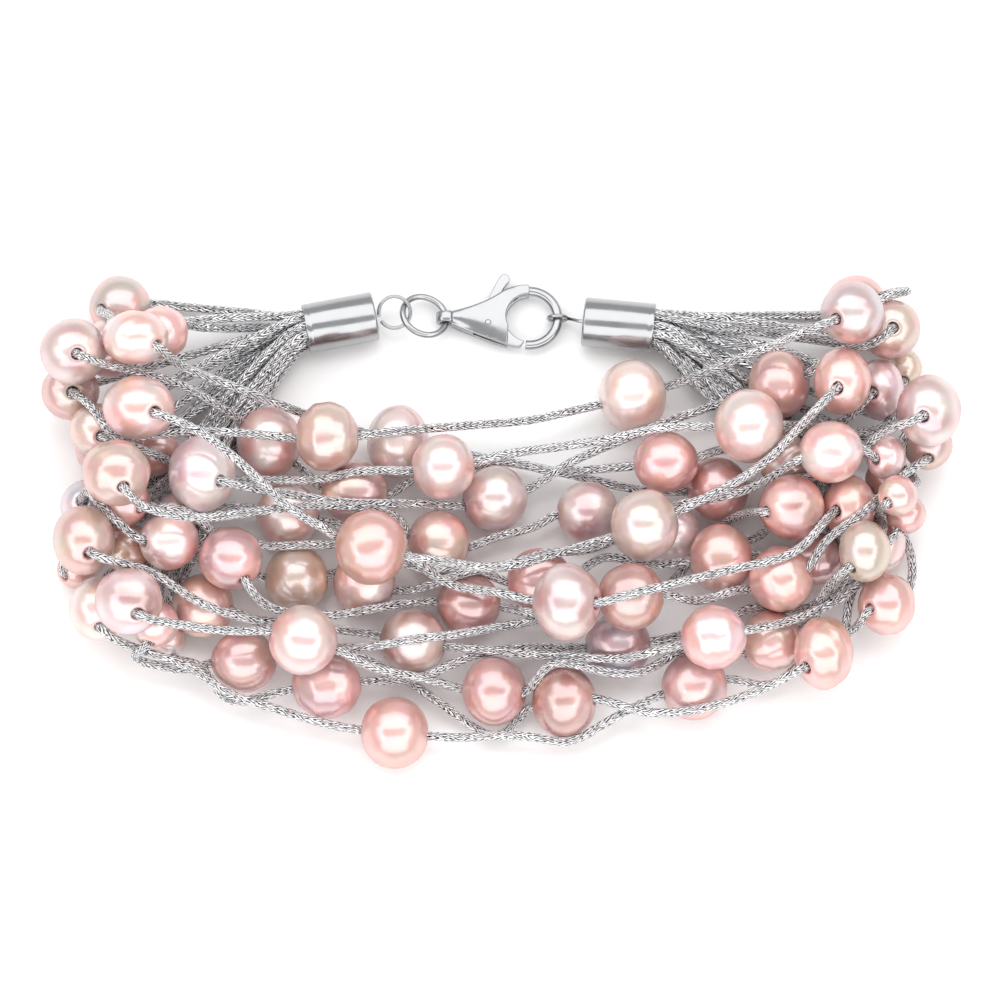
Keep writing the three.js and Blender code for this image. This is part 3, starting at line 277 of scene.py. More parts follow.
        loose(-39.5, 3, 0.7), loose(-41, -1.5, 1.2), back(-37.5, -2.8, 2.5, 2.5, 1), loose(-31, -4, 2),
        bend(-26, -4.6, 2.6), back(-20.4, -5.9, 3.2, 3.3, 0), bend(-17, -4.6, 3),
        back(-13.6, -6.2, 3.1, 3.3, 0),
        bend(-8, -7.4, 3), bend(-2, -6, 2.8), bend(5, -4, 7), bend(11, -2.3, 3), bend(17.8, 1.2, 6.6),
        bend(24, 2.6, 8), bend(28.5, 4.2, 8.6), back(33, 6.8, 3.2, 3.1, 2), back(38.6, 6.3, 2, 2.2, 2),
        loose(41, 8, 1.5),
    ], "gold/peach cream/gold white_pink/pink pink/white lilac/pink"),
]

# ---------------------------------------------------------------- stacking the pearls

PEARLS = [station for strand in STRANDS for station in strand.stations if station.across]
LIFT = 0.05


def reach(across, up, direction):
    """How far a pearl's surface is from its centre in a direction."""
    deep = (across + up) / 2
    return np.sqrt(
        (across * (direction @ ACROSS)) ** 2
        + (up * (direction @ UP)) ** 2
        + (deep * (direction @ TOWARDS)) ** 2
    )


def too_close(one, placed):
    if not placed:
        return False
    lines = np.array([other.centre for other in placed]) - one.centre
    distances = np.linalg.norm(lines, axis=1)
    lines /= distances[:, None]
    widths = np.array([other.across for other in placed])
    heights = np.array([other.up for other in placed])
    gaps = distances - reach(one.across, one.up, lines) - reach(widths, heights, lines)
    return bool((gaps < CLEARANCE).any())


def stack_pearls():
    placed = []
    for one in sorted(PEARLS, key=lambda station: station.layer):
        on_edge = one.layer > 0 and abs(one.x) > EDGE_X
        lowest = (one.across + one.up) / 2 + (CRAWL_SPACE if on_edge else ABOVE_TABLE)
        one.centre = place(one.x, one.s, lowest)
        while too_close(one, placed):
            one.centre = one.centre + TOWARDS * LIFT
        placed.append(one)


# ---------------------------------------------------------------- settling the cords


def cap_axis(degrees):
    turn = math.radians(degrees)
    return np.array([math.cos(turn), math.sin(turn), 0.0])


CAPS = {
    "left": (np.array([-16.15, 20.03, CAP_RADIUS + ABOVE_TABLE]), cap_axis(11.2)),
    "right": (np.array([12.0, 19.77, CAP_RADIUS + ABOVE_TABLE]), cap_axis(174.3)),
}
CORDS_ACROSS_BUNDLE = 5


def bundle_places():
    """Where the 17 cords lie in a cap's mouth: close-packed rows, without the two outermost ends."""
    half_rows = CORDS_ACROSS_BUNDLE // 2
    places = []
    for row in range(-half_rows, half_rows + 1):
        in_row = CORDS_ACROSS_BUNDLE - abs(row)
        for i in range(in_row):
            places.append(((i - (in_row - 1) / 2) * CORD_PITCH, row * CORD_PITCH * math.sqrt(3) / 2))
    places = [(side, up) for side, up in places if abs(side) < 1.9 * CORD_PITCH]
    return sorted(places, key=lambda spot: (-spot[0], spot[1]))


BUNDLE = bundle_places()
CORD_ABOVE_TABLE = 0.04
CAP_MOUTH_RUN = 0.6  # straight out of a cap
PEARL_MOUTH_RUN = 0.25  # straight out of a pearl


def mouth_point(cap, order, beyond):
    centre, inward = CAPS[cap]
    rearward = np.array([-inward[1], inward[0], 0.0])
    if rearward[1] < 0:
        rearward = -rearward
    side, up = BUNDLE[order]
    return centre - inward * (CAP_LENGTH / 2 + beyond) + rearward * side + np.array([0, 0, up])


@dataclass(eq=False)
class Node:
    """A point of a cord. It is held, loose or seen, and may lead into a pearl or out of one."""

    p: np.ndarray
    held: bool = False
    loose: bool = False
    into: Station = None
    out: Station = None


def fan_point(order, x, s, wider, flatter):
    """A cord's place in the fan outside a cap, where the bundle has grown wider and flatter."""
    side, up = BUNDLE[order]
    height = CORD_RADIUS + CORD_ABOVE_TABLE + (up + CORD_PITCH * math.sqrt(3)) * flatter
    return Node(place(x, s + side * wider, height), loose=True)


def left_fan(order):
    return [fan_point(order, -24.5, 17.3, 2.1, 0.85), fan_point(order, -31, 16.3, 3.4, 0.65)]


def right_fan(order):
    return [fan_point(order, 28.5, 17.4, 2.3, 0.8), fan_point(order, 21.5, 17.6, 1.6, 1)]


def unit(vector):
    return vector / np.linalg.norm(vector)


def drill_direction(station, before, after):
    if not station.hole:
        return unit(after - before)
    across, up = station.hole
    radius = (station.across + station.up) / 2
    depth = math.sqrt(max(0, radius**2 - across**2 - up**2))
    towards_hole = unit(across * ACROSS + up * UP + depth * TOWARDS)
    return towards_hole if station.x < 0 else -towards_hole


def cord_nodes(strand):
    start = [mouth_point("left", strand.left, beyond) for beyond in (-CORD_IN_CAP, CAP_MOUTH_RUN)]
    end = [mouth_point("right", strand.right, beyond) for beyond in (CAP_MOUTH_RUN, -CORD_IN_CAP)]
    nodes = [Node(point, held=True) for point in start] + left_fan(strand.left)
    middles = [
        place(station.x, station.s, station.z) if station.centre is None else station.centre
        for station in strand.stations
    ]
    for i, station in enumerate(strand.stations):
        if station.centre is None:
            nodes.append(Node(middles[i], loose=station.loose))
            continue
        before = middles[i - 1] if i else nodes[-1].p
        after = middles[i + 1] if i + 1 < len(middles) else right_fan(strand.right)[0].p
        station.drill = drill_direction(station, before, after)
        half = reach(station.across, station.up, station.drill) + PEARL_MOUTH_RUN
        nodes.append(Node(station.centre - station.drill * half, held=True, into=station))
        nodes.append(Node(station.centre + station.drill * half, held=True, out=station))
    return split(nodes + right_fan(strand.right) + [Node(point, held=True) for point in end])


def split(nodes):
    """Adds nodes until no free step is too long."""
    finer = []
    for node, following in zip(nodes, nodes[1:] + [None]):
        finer.append(node)
        if following is None or node.into:
            continue
        pieces = math.ceil(np.linalg.norm(following.p - node.p) / LONGEST_STEP)
        for k in range(1, pieces):
            p = node.p + (following.p - node.p) * (k / pieces)
            finer.append(Node(p, loose=node.loose and following.loose))
    return finer


ROUNDS = 1500
NEIGHBOUR_ROUNDS = 20
NEAR = 2.5
PEARL_PUSH = 1.4
PUSH_SHARE = 0.5  # the share of each push, easing and pull that one round makes
LOOSE_EASE = 0.06
SEEN_EASE = 0.1
HOME_PULL = 0.04


def closest(a, b, c, d):
    """The closest points of pairs of straight stretches, as shares along each."""
    u, v, w = b - a, d - c, a - c
    uu, uv, vv = (u * u).sum(1), (u * v).sum(1), (v * v).sum(1)
    uw, vw = (u * w).sum(1), (v * w).sum(1)
    s = np.clip((uv * vw - vv * uw) / np.maximum(uu * vv - uv * uv, 1e-9), 0, 1)
    t = np.clip((uv * s + vw) / np.maximum(vv, 1e-9), 0, 1)
    s = np.clip((uv * t - uw) / np.maximum(uu, 1e-9), 0, 1)
    return s[:, None], t[:, None]


def settle_cords(cords):
    """Cords push each other and are pushed out of pearls and up from the table, bit by bit."""
    nodes = [node for cord in cords for node in cord]
    points = np.array([node.p for node in nodes])
    homes = points.copy()
    cord_of = np.array([number for number, cord in enumerate(cords) for _ in cord])
    is_loose = np.array([node.loose for node in nodes])
    free = np.flatnonzero([not node.held for node in nodes])
    first = np.flatnonzero(cord_of[1:] == cord_of[:-1])
    second = first + 1
    inside = [nodes[i].into for i in first]
    centres = np.array([ball.centre for ball in PEARLS])
    widths = np.array([ball.across for ball in PEARLS])
    heights = np.array([ball.up for ball in PEARLS])
    own = np.array([
        [inside[k] is ball or nodes[i].out is ball or nodes[i + 1].into is ball for ball in PEARLS]
        for k, i in enumerate(first)
    ])
    passable = centres[:, 2] - heights > 2 * CORD_RADIUS + CLEARANCE
    order = np.arange(len(first))
    same_cord = cord_of[first][:, None] == cord_of[first][None, :]
    may_meet = (order[None, :] > order[:, None]) & ~(same_cord & (order[None, :] - order[:, None] < 3))

    for round_number in range(ROUNDS):
        a, b = points[first], points[second]
        if round_number % NEIGHBOUR_ROUNDS == 0:
            middles, halves = (a + b) / 2, np.linalg.norm(b - a, axis=1) / 2
            gaps = np.linalg.norm(middles[:, None] - middles[None, :], axis=2)
            one, two = np.nonzero(may_meet & (gaps < halves[:, None] + halves[None, :] + NEAR))
            gaps = np.linalg.norm(middles[:, None] - centres[None, :], axis=2)
            line_of, ball_of = np.nonzero(~own & (gaps < halves[:, None] + heights[None, :] + NEAR))
        push = np.zeros_like(points)

        s, t = closest(a[one], b[one], a[two], b[two])
        lines = a[two] + (b[two] - a[two]) * t - a[one] - (b[one] - a[one]) * s
        distances = np.linalg.norm(lines, axis=1)
        overlaps = 2 * CORD_RADIUS + CLEARANCE - distances
        lines[distances < 0.05] = TOWARDS
        lines *= (np.maximum(overlaps, 0) / np.linalg.norm(lines, axis=1))[:, None]
        np.add.at(push, first[one], -lines * (1 - s))
        np.add.at(push, second[one], -lines * s)
        np.add.at(push, first[two], lines * (1 - t))
        np.add.at(push, second[two], lines * t)

        start, along, centre = a[line_of], (b - a)[line_of], centres[ball_of]
        t = np.clip(((centre - start) * along).sum(1) / (along * along).sum(1), 0, 1)[:, None]
        lines = start + along * t - centre
        distances = np.linalg.norm(lines, axis=1)
        lines /= distances[:, None]
        overlaps = reach(widths[ball_of], heights[ball_of], lines) + CORD_RADIUS + CLEARANCE - distances
        lines[~passable[ball_of] & (lines[:, 2] < 0), 2] = 0
        lines *= (np.maximum(overlaps, 0) * PEARL_PUSH / np.linalg.norm(lines, axis=1))[:, None]
        np.add.at(push, first[line_of], lines * (1 - t))
        np.add.at(push, second[line_of], lines * t)

        smooth = np.zeros_like(points)
        smooth[free] = (points[free - 1] + points[free + 1]) / 2 - points[free]
        loose_ones, seen_ones = free[is_loose[free]], free[~is_loose[free]]
        points[free] += push[free] * PUSH_SHARE
        points[loose_ones] += smooth[loose_ones] * LOOSE_EASE
        points[seen_ones] += SEEN_EASE * (smooth[seen_ones] @ TOWARDS)[:, None] * TOWARDS
        astray = points[seen_ones] - homes[seen_ones]
        astray -= (astray @ TOWARDS)[:, None] * TOWARDS
        points[seen_ones] -= astray * HOME_PULL
        points[free, 2] = np.maximum(points[free, 2], CORD_RADIUS + CORD_ABOVE_TABLE)
    return [points[cord_of == number] for number in range(len(cords))]


stack_pearls()
routes = settle_cords([cord_nodes(strand) for strand in STRANDS])

# ---------------------------------------------------------------- materials


def colour(hex_value):
    """An sRGB hex colour as linear red, green, blue and full alpha."""
    parts = [int(hex_value[i : i + 2], 16) / 255 for i in (1, 3, 5)]
    return (*(p / 12.92 if p <= 0.04045 else ((p + 0.055) / 1.055) ** 2.4 for p in parts), 1)


def add_node(tree, kind, settings=None, **inputs):
    """Adds a node, sets its own settings, and fills its inputs, by name or as input_0, input_1."""
    node = tree.nodes.new(kind)
    for name, value in (settings or {}).items():
        setattr(node, name, value)
    for name, value in inputs.items():
        number = name.removeprefix("input_")
        socket = node.inputs[int(number) if number.isdigit() else name.replace("_", " ")]
        if isinstance(value, bpy.types.NodeSocket):
            tree.links.new(value, socket)
        else:
            socket.default_value = value
    return node


def start_material(name):
    material = bpy.data.materials.new(name)
    material.use_nodes = True
    tree = material.node_tree
    tree.nodes.clear()
    here = add_node(tree, "ShaderNodeTexCoord").outputs["Object"]
    return material, tree, here


def finish_material(material, tree, surface):
    add_node(tree, "ShaderNodeOutputMaterial", Surface=surface.outputs[0])
    return material


# A pattern's scale is 1000 over its size in millimetres.
OVERTONE_CLOUDS = 420.0  # 2.4 mm
NACRE_DIMPLES = 900.0  # 1.1 mm
BRAID_WANDER = 900.0  # 1.1 mm
# painted glints: noise flecks that brighten the braid's colour
BRAID_PAINTED_GLINTS = 3200.0  # 0.3 mm
POLISHING_MARKS = 700.0  # 1.4 mm
RESIN_CLOUDS = 500.0  # 2 mm
FLOOR_HAZE = 3.0  # 330 mm
STRIPS_ALONG = 230.0  # on a cord of about 150 mm
STRIP_SLANT = 3.0
BRAID_STARTS = 4.0
MULTIPLY = {"operation": "MULTIPLY"}
MULTIPLY_ADD = {"operation": "MULTIPLY_ADD"}
PINGPONG = {"operation": "PINGPONG"}


def nacre_material():
    # Freshwater nacre: layers of aragonite platelets under a thin polish. The body colour has an
    # overtone in patches, and the layers give it a broad whitish satin reflection, which the second
    # shader adds. The skin is slightly dimpled.
    material, tree, here = start_material("freshwater_nacre")
    tint = add_node(tree, "ShaderNodeAttribute", {"attribute_name": "tint"})
    clouds = add_node(
        tree, "ShaderNodeTexNoise", Vector=here, Scale=OVERTONE_CLOUDS, Detail=3.0, Roughness=0.5,
    )
    clouded = add_node(
        tree, "ShaderNodeMix", {"data_type": "RGBA", "blend_type": "SOFT_LIGHT"},
        input_0=0.35, input_6=tint.outputs["Color"], input_7=clouds.outputs["Color"],
    )
    skin = add_node(tree, "ShaderNodeTexNoise", Vector=here, Scale=NACRE_DIMPLES, Detail=2.0, Roughness=0.6)
    dimples = add_node(
        tree, "ShaderNodeBump", Strength=0.12, Distance=0.0002, Height=skin.outputs["Fac"],
    ).outputs["Normal"]
    body = add_node(
        tree, "ShaderNodeBsdfPrincipled",
        Base_Color=clouded.outputs[2], Metallic=0.2, Roughness=0.4, IOR=1.66, Normal=dimples,
        Coat_Weight=0.15, Coat_Roughness=0.08, Coat_IOR=1.5,
    )
    body.inputs["Specular Tint"].default_value = colour("#c98a80")
    orient = add_node(tree, "ShaderNodeBsdfAnisotropic", Roughness=0.23, Normal=dimples)
    orient.inputs["Color"].default_value = colour("#f3eef2")
    surface = add_node(
        tree, "ShaderNodeMixShader", Fac=0.31, input_1=body.outputs[0], input_2=orient.outputs[0],
    )
    return finish_material(material, tree, surface)


def braid_material():
    # Metallic thread braid: flat silver-grey strips over a core, laid in chevrons round the cord. Its colour
    # is painted near black in the low gaps between the strips, as painted shade, and near white where the
    # strips and fine noise flecks stand high, as painted glints. The strips are drawn 0.65 mm apart,
    # coarser than real ones, which would be too fine to see.
    material, tree, here = start_material("metallic_thread_braid")
    lay = add_node(tree, "ShaderNodeUVMap", {"uv_map": "UVMap"})
    parts = add_node(tree, "ShaderNodeSeparateXYZ", Vector=lay.outputs["UV"])
    wander = add_node(tree, "ShaderNodeTexNoise", Vector=here, Scale=BRAID_WANDER, Detail=1.0)
    round_it = add_node(
        tree, "ShaderNodeMath", MULTIPLY_ADD,
        input_0=parts.outputs["Y"], input_1=BRAID_STARTS, input_2=wander.outputs["Fac"],
    )
    chevron = add_node(tree, "ShaderNodeMath", PINGPONG, input_0=round_it.outputs[0], input_1=0.5)
    slant = add_node(tree, "ShaderNodeMath", MULTIPLY, input_0=chevron.outputs[0], input_1=STRIP_SLANT)
    strips = add_node(
        tree, "ShaderNodeMath", MULTIPLY_ADD,
        input_0=parts.outputs["X"], input_1=STRIPS_ALONG, input_2=slant.outputs[0],
    )
    ridge = add_node(tree, "ShaderNodeMath", PINGPONG, input_0=strips.outputs[0], input_1=0.5)
    # Painted glints: fine noise that lifts the braid's colour towards white, and its bump with it.
    painted_glints = add_node(tree, "ShaderNodeTexNoise", Vector=here, Scale=BRAID_PAINTED_GLINTS, Detail=2.0, Roughness=0.7)
    painted_glint_flecks = add_node(tree, "ShaderNodeMath", MULTIPLY, input_0=painted_glints.outputs["Fac"], input_1=1.1)
    height = add_node(
        tree, "ShaderNodeMath", MULTIPLY_ADD,
        input_0=ridge.outputs[0], input_1=1.3, input_2=painted_glint_flecks.outputs[0],
    )
    shade = add_node(tree, "ShaderNodeValToRGB", Fac=height.outputs[0])
    # Painted shade in the gaps, near black, and on the strips near white, their silver with painted glints.
    painted_shade_gap, strip_and_painted_glint = shade.color_ramp.elements
    painted_shade_gap.position, painted_shade_gap.color = 0.68, colour("#1c1c1e")
    strip_and_painted_glint.position, strip_and_painted_glint.color = 0.86, colour("#fafafc")
    relief = add_node(tree, "ShaderNodeBump", Strength=1.0, Distance=0.00015, Height=height.outputs[0])
    surface = add_node(
        tree, "ShaderNodeBsdfPrincipled",
        Base_Color=shade.outputs["Color"], Metallic=0.75, Roughness=0.3, Normal=relief.outputs["Normal"],
    )
    return finish_material(material, tree, surface)


def silver_material():
    # Rhodium-plated sterling silver, polished: a cool bright mirror with faint polishing marks.
    material, tree, here = start_material("rhodium_plated_silver")
    marks = add_node(tree, "ShaderNodeTexNoise", Vector=here, Scale=POLISHING_MARKS, Detail=4.0)
    gloss = add_node(
        tree, "ShaderNodeMapRange", Value=marks.outputs["Fac"],
        From_Min=0.3, From_Max=0.7, To_Min=0.15, To_Max=0.23,
    )
    waves = add_node(tree, "ShaderNodeBump", Strength=0.05, Distance=0.0002, Height=marks.outputs["Fac"])
    surface = add_node(
        tree, "ShaderNodeBsdfPrincipled",
        Metallic=1.0, Roughness=gloss.outputs["Result"], Normal=waves.outputs["Normal"],
    )
    surface.inputs["Base Color"].default_value = colour("#afb0b2")
    return finish_material(material, tree, surface)


def resin_material():
    # Cast polyester resin in the caps, slightly cloudy.
    material, tree, here = start_material("cast_resin")
    cloud = add_node(tree, "ShaderNodeTexNoise", Vector=here, Scale=RESIN_CLOUDS)
    shade = add_node(tree, "ShaderNodeValToRGB", Fac=cloud.outputs["Fac"])
    shade.color_ramp.elements[0].color = colour("#c2bba6")
    shade.color_ramp.elements[1].color = colour("#d8d2c0")
    surface = add_node(
        tree, "ShaderNodeBsdfPrincipled", Base_Color=shade.outputs["Color"], Roughness=0.4, IOR=1.56,
    )
    return finish_material(material, tree, surface)


def floor_material():
    # White glossy acrylic sheet, which shows the lowest pearls as a faint blurred reflection.
    material, tree, here = start_material("white_acrylic_sheet")
    haze = add_node(tree, "ShaderNodeTexNoise", Vector=here, Scale=FLOOR_HAZE)
    gloss = add_node(tree, "ShaderNodeMapRange", Value=haze.outputs["Fac"], To_Min=0.16, To_Max=0.2)
    surface = add_node(tree, "ShaderNodeBsdfPrincipled", Roughness=gloss.outputs["Result"], IOR=1.49)
    surface.inputs["Base Color"].default_value = colour("#f6f6f6")
    return finish_material(material, tree, surface)


NACRE = nacre_material()
BRAID = braid_material()
SILVER = silver_material()
RESIN = resin_material()

# ---------------------------------------------------------------- making pieces


def finish_piece(bm, name, material, node, body="bracelet"):
    bmesh.ops.recalc_face_normals(bm, faces=bm.faces)
    mesh = bpy.data.meshes.new(name)
    bm.to_mesh(mesh)
    bm.free()
    mesh.shade_smooth()
    piece = bpy.data.objects.new(name, mesh)
    bpy.context.collection.objects.link(piece)
    mesh.materials.append(material)
    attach(piece, body)
    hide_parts(node)
    return piece


def move(bm, matrix):
    bmesh.ops.transform(bm, matrix=matrix, verts=bm.verts)


def spin_profile(bm, profile, steps):
    """Turns a profile of (radius, height) points round the Z axis."""
    corners = [bm.verts.new((radius, 0, height)) for radius, height in profile]
    edges = [bm.edges.new(pair) for pair in zip(corners, corners[1:])]
    bmesh.ops.spin(
        bm, geom=corners + edges, cent=(0, 0, 0), axis=(0, 0, 1), angle=math.tau,
        steps=steps, use_merge=True, use_duplicate=False,
    )
    bmesh.ops.remove_doubles(bm, verts=bm.verts, dist=1e-7)


def stand_along(direction, middle):
    """A placement that turns +Z along a direction, at a place in millimetres."""
    turn = Vector((0, 0, 1)).rotation_difference(Vector(direction)).to_matrix().to_4x4()
    return Matrix.Translation(in_metres(middle)) @ turn @ Matrix.Scale(0.001, 4)


# ---------------------------------------------------------------- cords

CORD_DIAMETER = 0.9
ROUTE_STEP = 0.7
CURVE_STEPS = 12
EASINGS = 6  # of the whole cord
MOST_EASINGS = 80  # of what is still too sharp
SHARPEST_TURN = math.radians(38)  # from one step of a cord to the next


def smooth_route(points):
    """A round curve through the nodes, as points at equal steps."""
    ends = [2 * points[0] - points[1], *points, 2 * points[-1] - points[-2]]
    fine = []
    for p0, p1, p2, p3 in zip(ends, ends[1:], ends[2:], ends[3:]):
        pairs = (p0, p1), (p1, p2), (p2, p3)
        d1, d2, d3 = (max(np.linalg.norm(q - p), 1e-6) ** 0.5 for p, q in pairs)
        m1 = (p2 - p1) + d2 * ((p1 - p0) / d1 - (p2 - p0) / (d1 + d2))
        m2 = (p2 - p1) + d2 * ((p3 - p2) / d3 - (p3 - p1) / (d2 + d3))
        for t in np.linspace(0, 1, CURVE_STEPS, endpoint=False):
            fine.append(
                (2 * t**3 - 3 * t**2 + 1) * p1 + (t**3 - 2 * t**2 + t) * m1
                + (3 * t**2 - 2 * t**3) * p2 + (t**3 - t**2) * m2
            )
    fine = np.array([*fine, points[-1]])
    lengths = np.concatenate([[0], np.cumsum(np.linalg.norm(np.diff(fine, axis=0), axis=1))])
    count = round(lengths[-1] / ROUTE_STEP)
    marks = np.linspace(0, lengths[-1], count + 1)
    route = np.stack([np.interp(marks, lengths, fine[:, k]) for k in range(3)], axis=1)
    for easing in range(MOST_EASINGS):
        steps = np.diff(route, axis=0)
        steps /= np.linalg.norm(steps, axis=1)[:, None]
        sharp = (steps[:-1] * steps[1:]).sum(axis=1) < math.cos(SHARPEST_TURN)
        near = sharp | np.roll(sharp, 1) | np.roll(sharp, -1)
        share = np.where(near | (easing < EASINGS), 0.5, 0)[:, None]
        route[1:-1] += ((route[:-2] + route[2:]) / 2 - route[1:-1]) * share
    return route, np.linalg.norm(np.diff(route, axis=0), axis=1).sum()


def wire(name, points, diameter, material, sides):
    """A round wire or cord through points in millimetres."""
    curve = bpy.data.curves.new(name, "CURVE")
    curve.dimensions = "3D"
    curve.bevel_depth = diameter / 2000
    curve.bevel_resolution = sides
    curve.use_fill_caps = True
    line = curve.splines.new("POLY")
    line.points.add(len(points) - 1)
    for point, at in zip(line.points, points):
        point.co = (*in_metres(at), 1)
    curve.materials.append(material)
    piece = bpy.data.objects.new(name, curve)
    bpy.context.collection.objects.link(piece)
    return piece


# ---------------------------------------------------------------- pearls

TINTS = {
    "cream": "#cdb5a5", "pale_peach": "#ebc3b2", "peach": "#d19f91", "bright_peach": "#d59b8e",
    "gold": "#edc4a8", "copper": "#aa7264", "rose": "#c58a84", "deep_pink": "#e4a198",
    "pink": "#ecaea4", "pale_pink": "#eabbad", "white_pink": "#dac7c0", "white": "#ecdfda",
    "mauve": "#bd8d8b", "pale_mauve": "#e0bdb9", "lilac": "#e9cccf", "silver_lilac": "#c5bfbe",
    "silver_cream": "#bfb1a5", "silver_blue": "#b9c0c8", "cream_grey": "#d2bcb3",
    "cream_yellow": "#dec2a7", "cream_green": "#bcab97",
}
DRILL_RADIUS = 0.6  # a little wider than the cord
DRILL_CHAMFER = 0.12
RIM_TURN = 0.06
RINGS = 26
SPOKES = 44
EVERY_RINGED = 5  # every fifth pearl has faint growth rings
GROWTH_RING = 0.012


def pearl_profile(radius):
    """Out of one drill hole, round the pearl and into the other, closed along the hole's wall."""
    edge = math.asin(DRILL_RADIUS / radius)
    outside = [
        (radius * math.sin(turn), -radius * math.cos(turn))
        for turn in np.linspace(edge + RIM_TURN, math.pi - edge - RIM_TURN, RINGS)
    ]
    wall = radius * math.cos(edge)
    inner = [(DRILL_RADIUS, DRILL_CHAMFER - wall), *outside, (DRILL_RADIUS, wall - DRILL_CHAMFER)]
    return [*inner, (DRILL_RADIUS, 0), inner[0]]


def roughen_pearl(bm, number, seed):
    """Pearls grow off-round: broad lumps, small ones and on some of them rings round the drill hole."""
    lumps = 0.02 + 0.03 * abs(noise.noise(seed + Vector((0.5, 0.5, 0.5))))
    ring = GROWTH_RING if number % EVERY_RINGED == 2 else 0
    for vert in bm.verts:
        out = vert.co.normalized()
        lump = noise.noise(out * 1.1 + seed) * lumps * 1.4 + noise.noise(out * 2.6 + seed) * lumps * 0.5
        from_hole = vert.co.xy.length - DRILL_RADIUS
        if from_hole > DRILL_RADIUS * 0.05:
            vert.co *= 1 + (lump + ring * math.sin(out.z * 13)) * min(1, from_hole / 1.2)


def tint_pearl(bm, station, seed):
    """Body colour, with the overtone in patches and round the drill holes."""
    body, overtone = (Vector(colour(TINTS[word])) for word in station.tints.split("/"))
    layer = bm.verts.layers.float_color.new("tint")
    middle = in_metres(station.centre)
    for vert in bm.verts:
        out = (vert.co - middle).normalized()
        patch = noise.noise(out * 1.3 + seed * 1.9) * 1.5 + 0.42
        ends = abs(out @ Vector(station.drill)) ** 6
        vert[layer] = body.lerp(overtone, min(1, max(0, patch * 0.8 + ends * 0.5)))


def make_pearl(name, station, number, node):
    radius = (station.across + station.up) / 2
    seed = Vector((number * 7.3, number * 3.1, number * 1.7))
    bm = bmesh.new()
    spin_profile(bm, pearl_profile(radius), SPOKES)
    roughen_pearl(bm, number, seed)
    turn = Vector((0, 0, 1)).rotation_difference(Vector(station.drill)).to_matrix().to_4x4()
    display = Matrix((ACROSS, UP, TOWARDS)).to_4x4()
    stretch = Matrix.Diagonal((station.across / radius, station.up / radius, 1, 1))
    oval = display.inverted() @ stretch @ display
    bmesh.ops.transform(
        bm, verts=bm.verts,
        matrix=Matrix.Translation(in_metres(station.centre)) @ Matrix.Scale(0.001, 4) @ oval @ turn,
    )
    tint_pearl(bm, station, seed)
    return finish_piece(bm, name, NACRE, node)


def make_strands():
    number = 0
    for order, (strand, route) in enumerate(zip(STRANDS, routes), 1):
        drilled = [station for station in strand.stations if station.across]
        own_count = 0
        for count, (station, tints) in enumerate(zip(drilled, strand.tints.split()), 1):
            number += 1
            station.tints = tints
            own_count += station.own
            node = f"pearl_{order:02d}_{own_count}" if station.own else f"strand_{order:02d}"
            make_pearl(f"nacre_pearl_{order:02d}_{count}", station, number, node)
        points, length = smooth_route(route)
        cord = wire(f"braided_cord_{order:02d}", points, CORD_DIAMETER, BRAID, sides=4)
        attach(cord, "bracelet")
        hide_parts(f"strand_{order:02d}")


make_strands()

# ---------------------------------------------------------------- end caps and eye pins

CAP_WALL = 0.18
CAP_HOLE_RADIUS = 0.45
CAP_END = CAP_LENGTH / 2
CAP_ROUND = 0.06  # of the lip
CAP_SPOKES = 96


def make_cap(side):
    centre, inward = CAPS[side]
    inner = CAP_RADIUS - CAP_WALL
    floor = CAP_END - CAP_WALL * 1.5
    bm = bmesh.new()
    lip = [
        (inner, CAP_ROUND - CAP_END), (inner + 0.04, -CAP_END), (CAP_RADIUS - 0.05, -CAP_END),
        (CAP_RADIUS, CAP_ROUND - CAP_END),
    ]
    groove = [
        (CAP_RADIUS, 0.5 - CAP_END), (CAP_RADIUS - 0.03, 0.56 - CAP_END),
        (CAP_RADIUS - 0.03, 0.66 - CAP_END), (CAP_RADIUS, 0.72 - CAP_END),
    ]
    shoulder = [
        (CAP_RADIUS, CAP_END - 0.22), (CAP_RADIUS - 0.07, CAP_END - 0.07), (CAP_RADIUS - 0.22, CAP_END),
    ]
    inside = [(CAP_HOLE_RADIUS, CAP_END), (CAP_HOLE_RADIUS, floor), (inner, floor), lip[0]]
    spin_profile(bm, lip + groove + shoulder + inside, CAP_SPOKES)
    move(bm, stand_along(inward, centre))
    cap = finish_piece(bm, f"silver_cap_{side}", SILVER, f"{side}_end_cap")
    mark_sharp(cap)


def mark_sharp(piece, angle=40):
    """Keeps the edges of turned and cut metal crisp."""
    bm = bmesh.new()
    bm.from_mesh(piece.data)
    for edge in bm.edges:
        edge.smooth = edge.is_manifold and edge.calc_face_angle() < math.radians(angle)
    bm.to_mesh(piece.data)
    bm.free()


PIN_RADIUS = 0.19
EYE_RADIUS = 1.6
EYE_TILT = math.radians(17)
EYE_NECK = 0.36
SMALL_EYE_RADIUS = 0.95
CLASP_MIDDLE = np.array([3.0, 20.86, 1.2])
HOOK_MIDDLE_RADIUS = 2.85


def arc(centre, radius, first, second, start, end, steps):
    turns = np.radians(np.linspace(start, end, steps + 1))
    return [centre + radius * (math.cos(turn) * first + math.sin(turn) * second) for turn in turns]


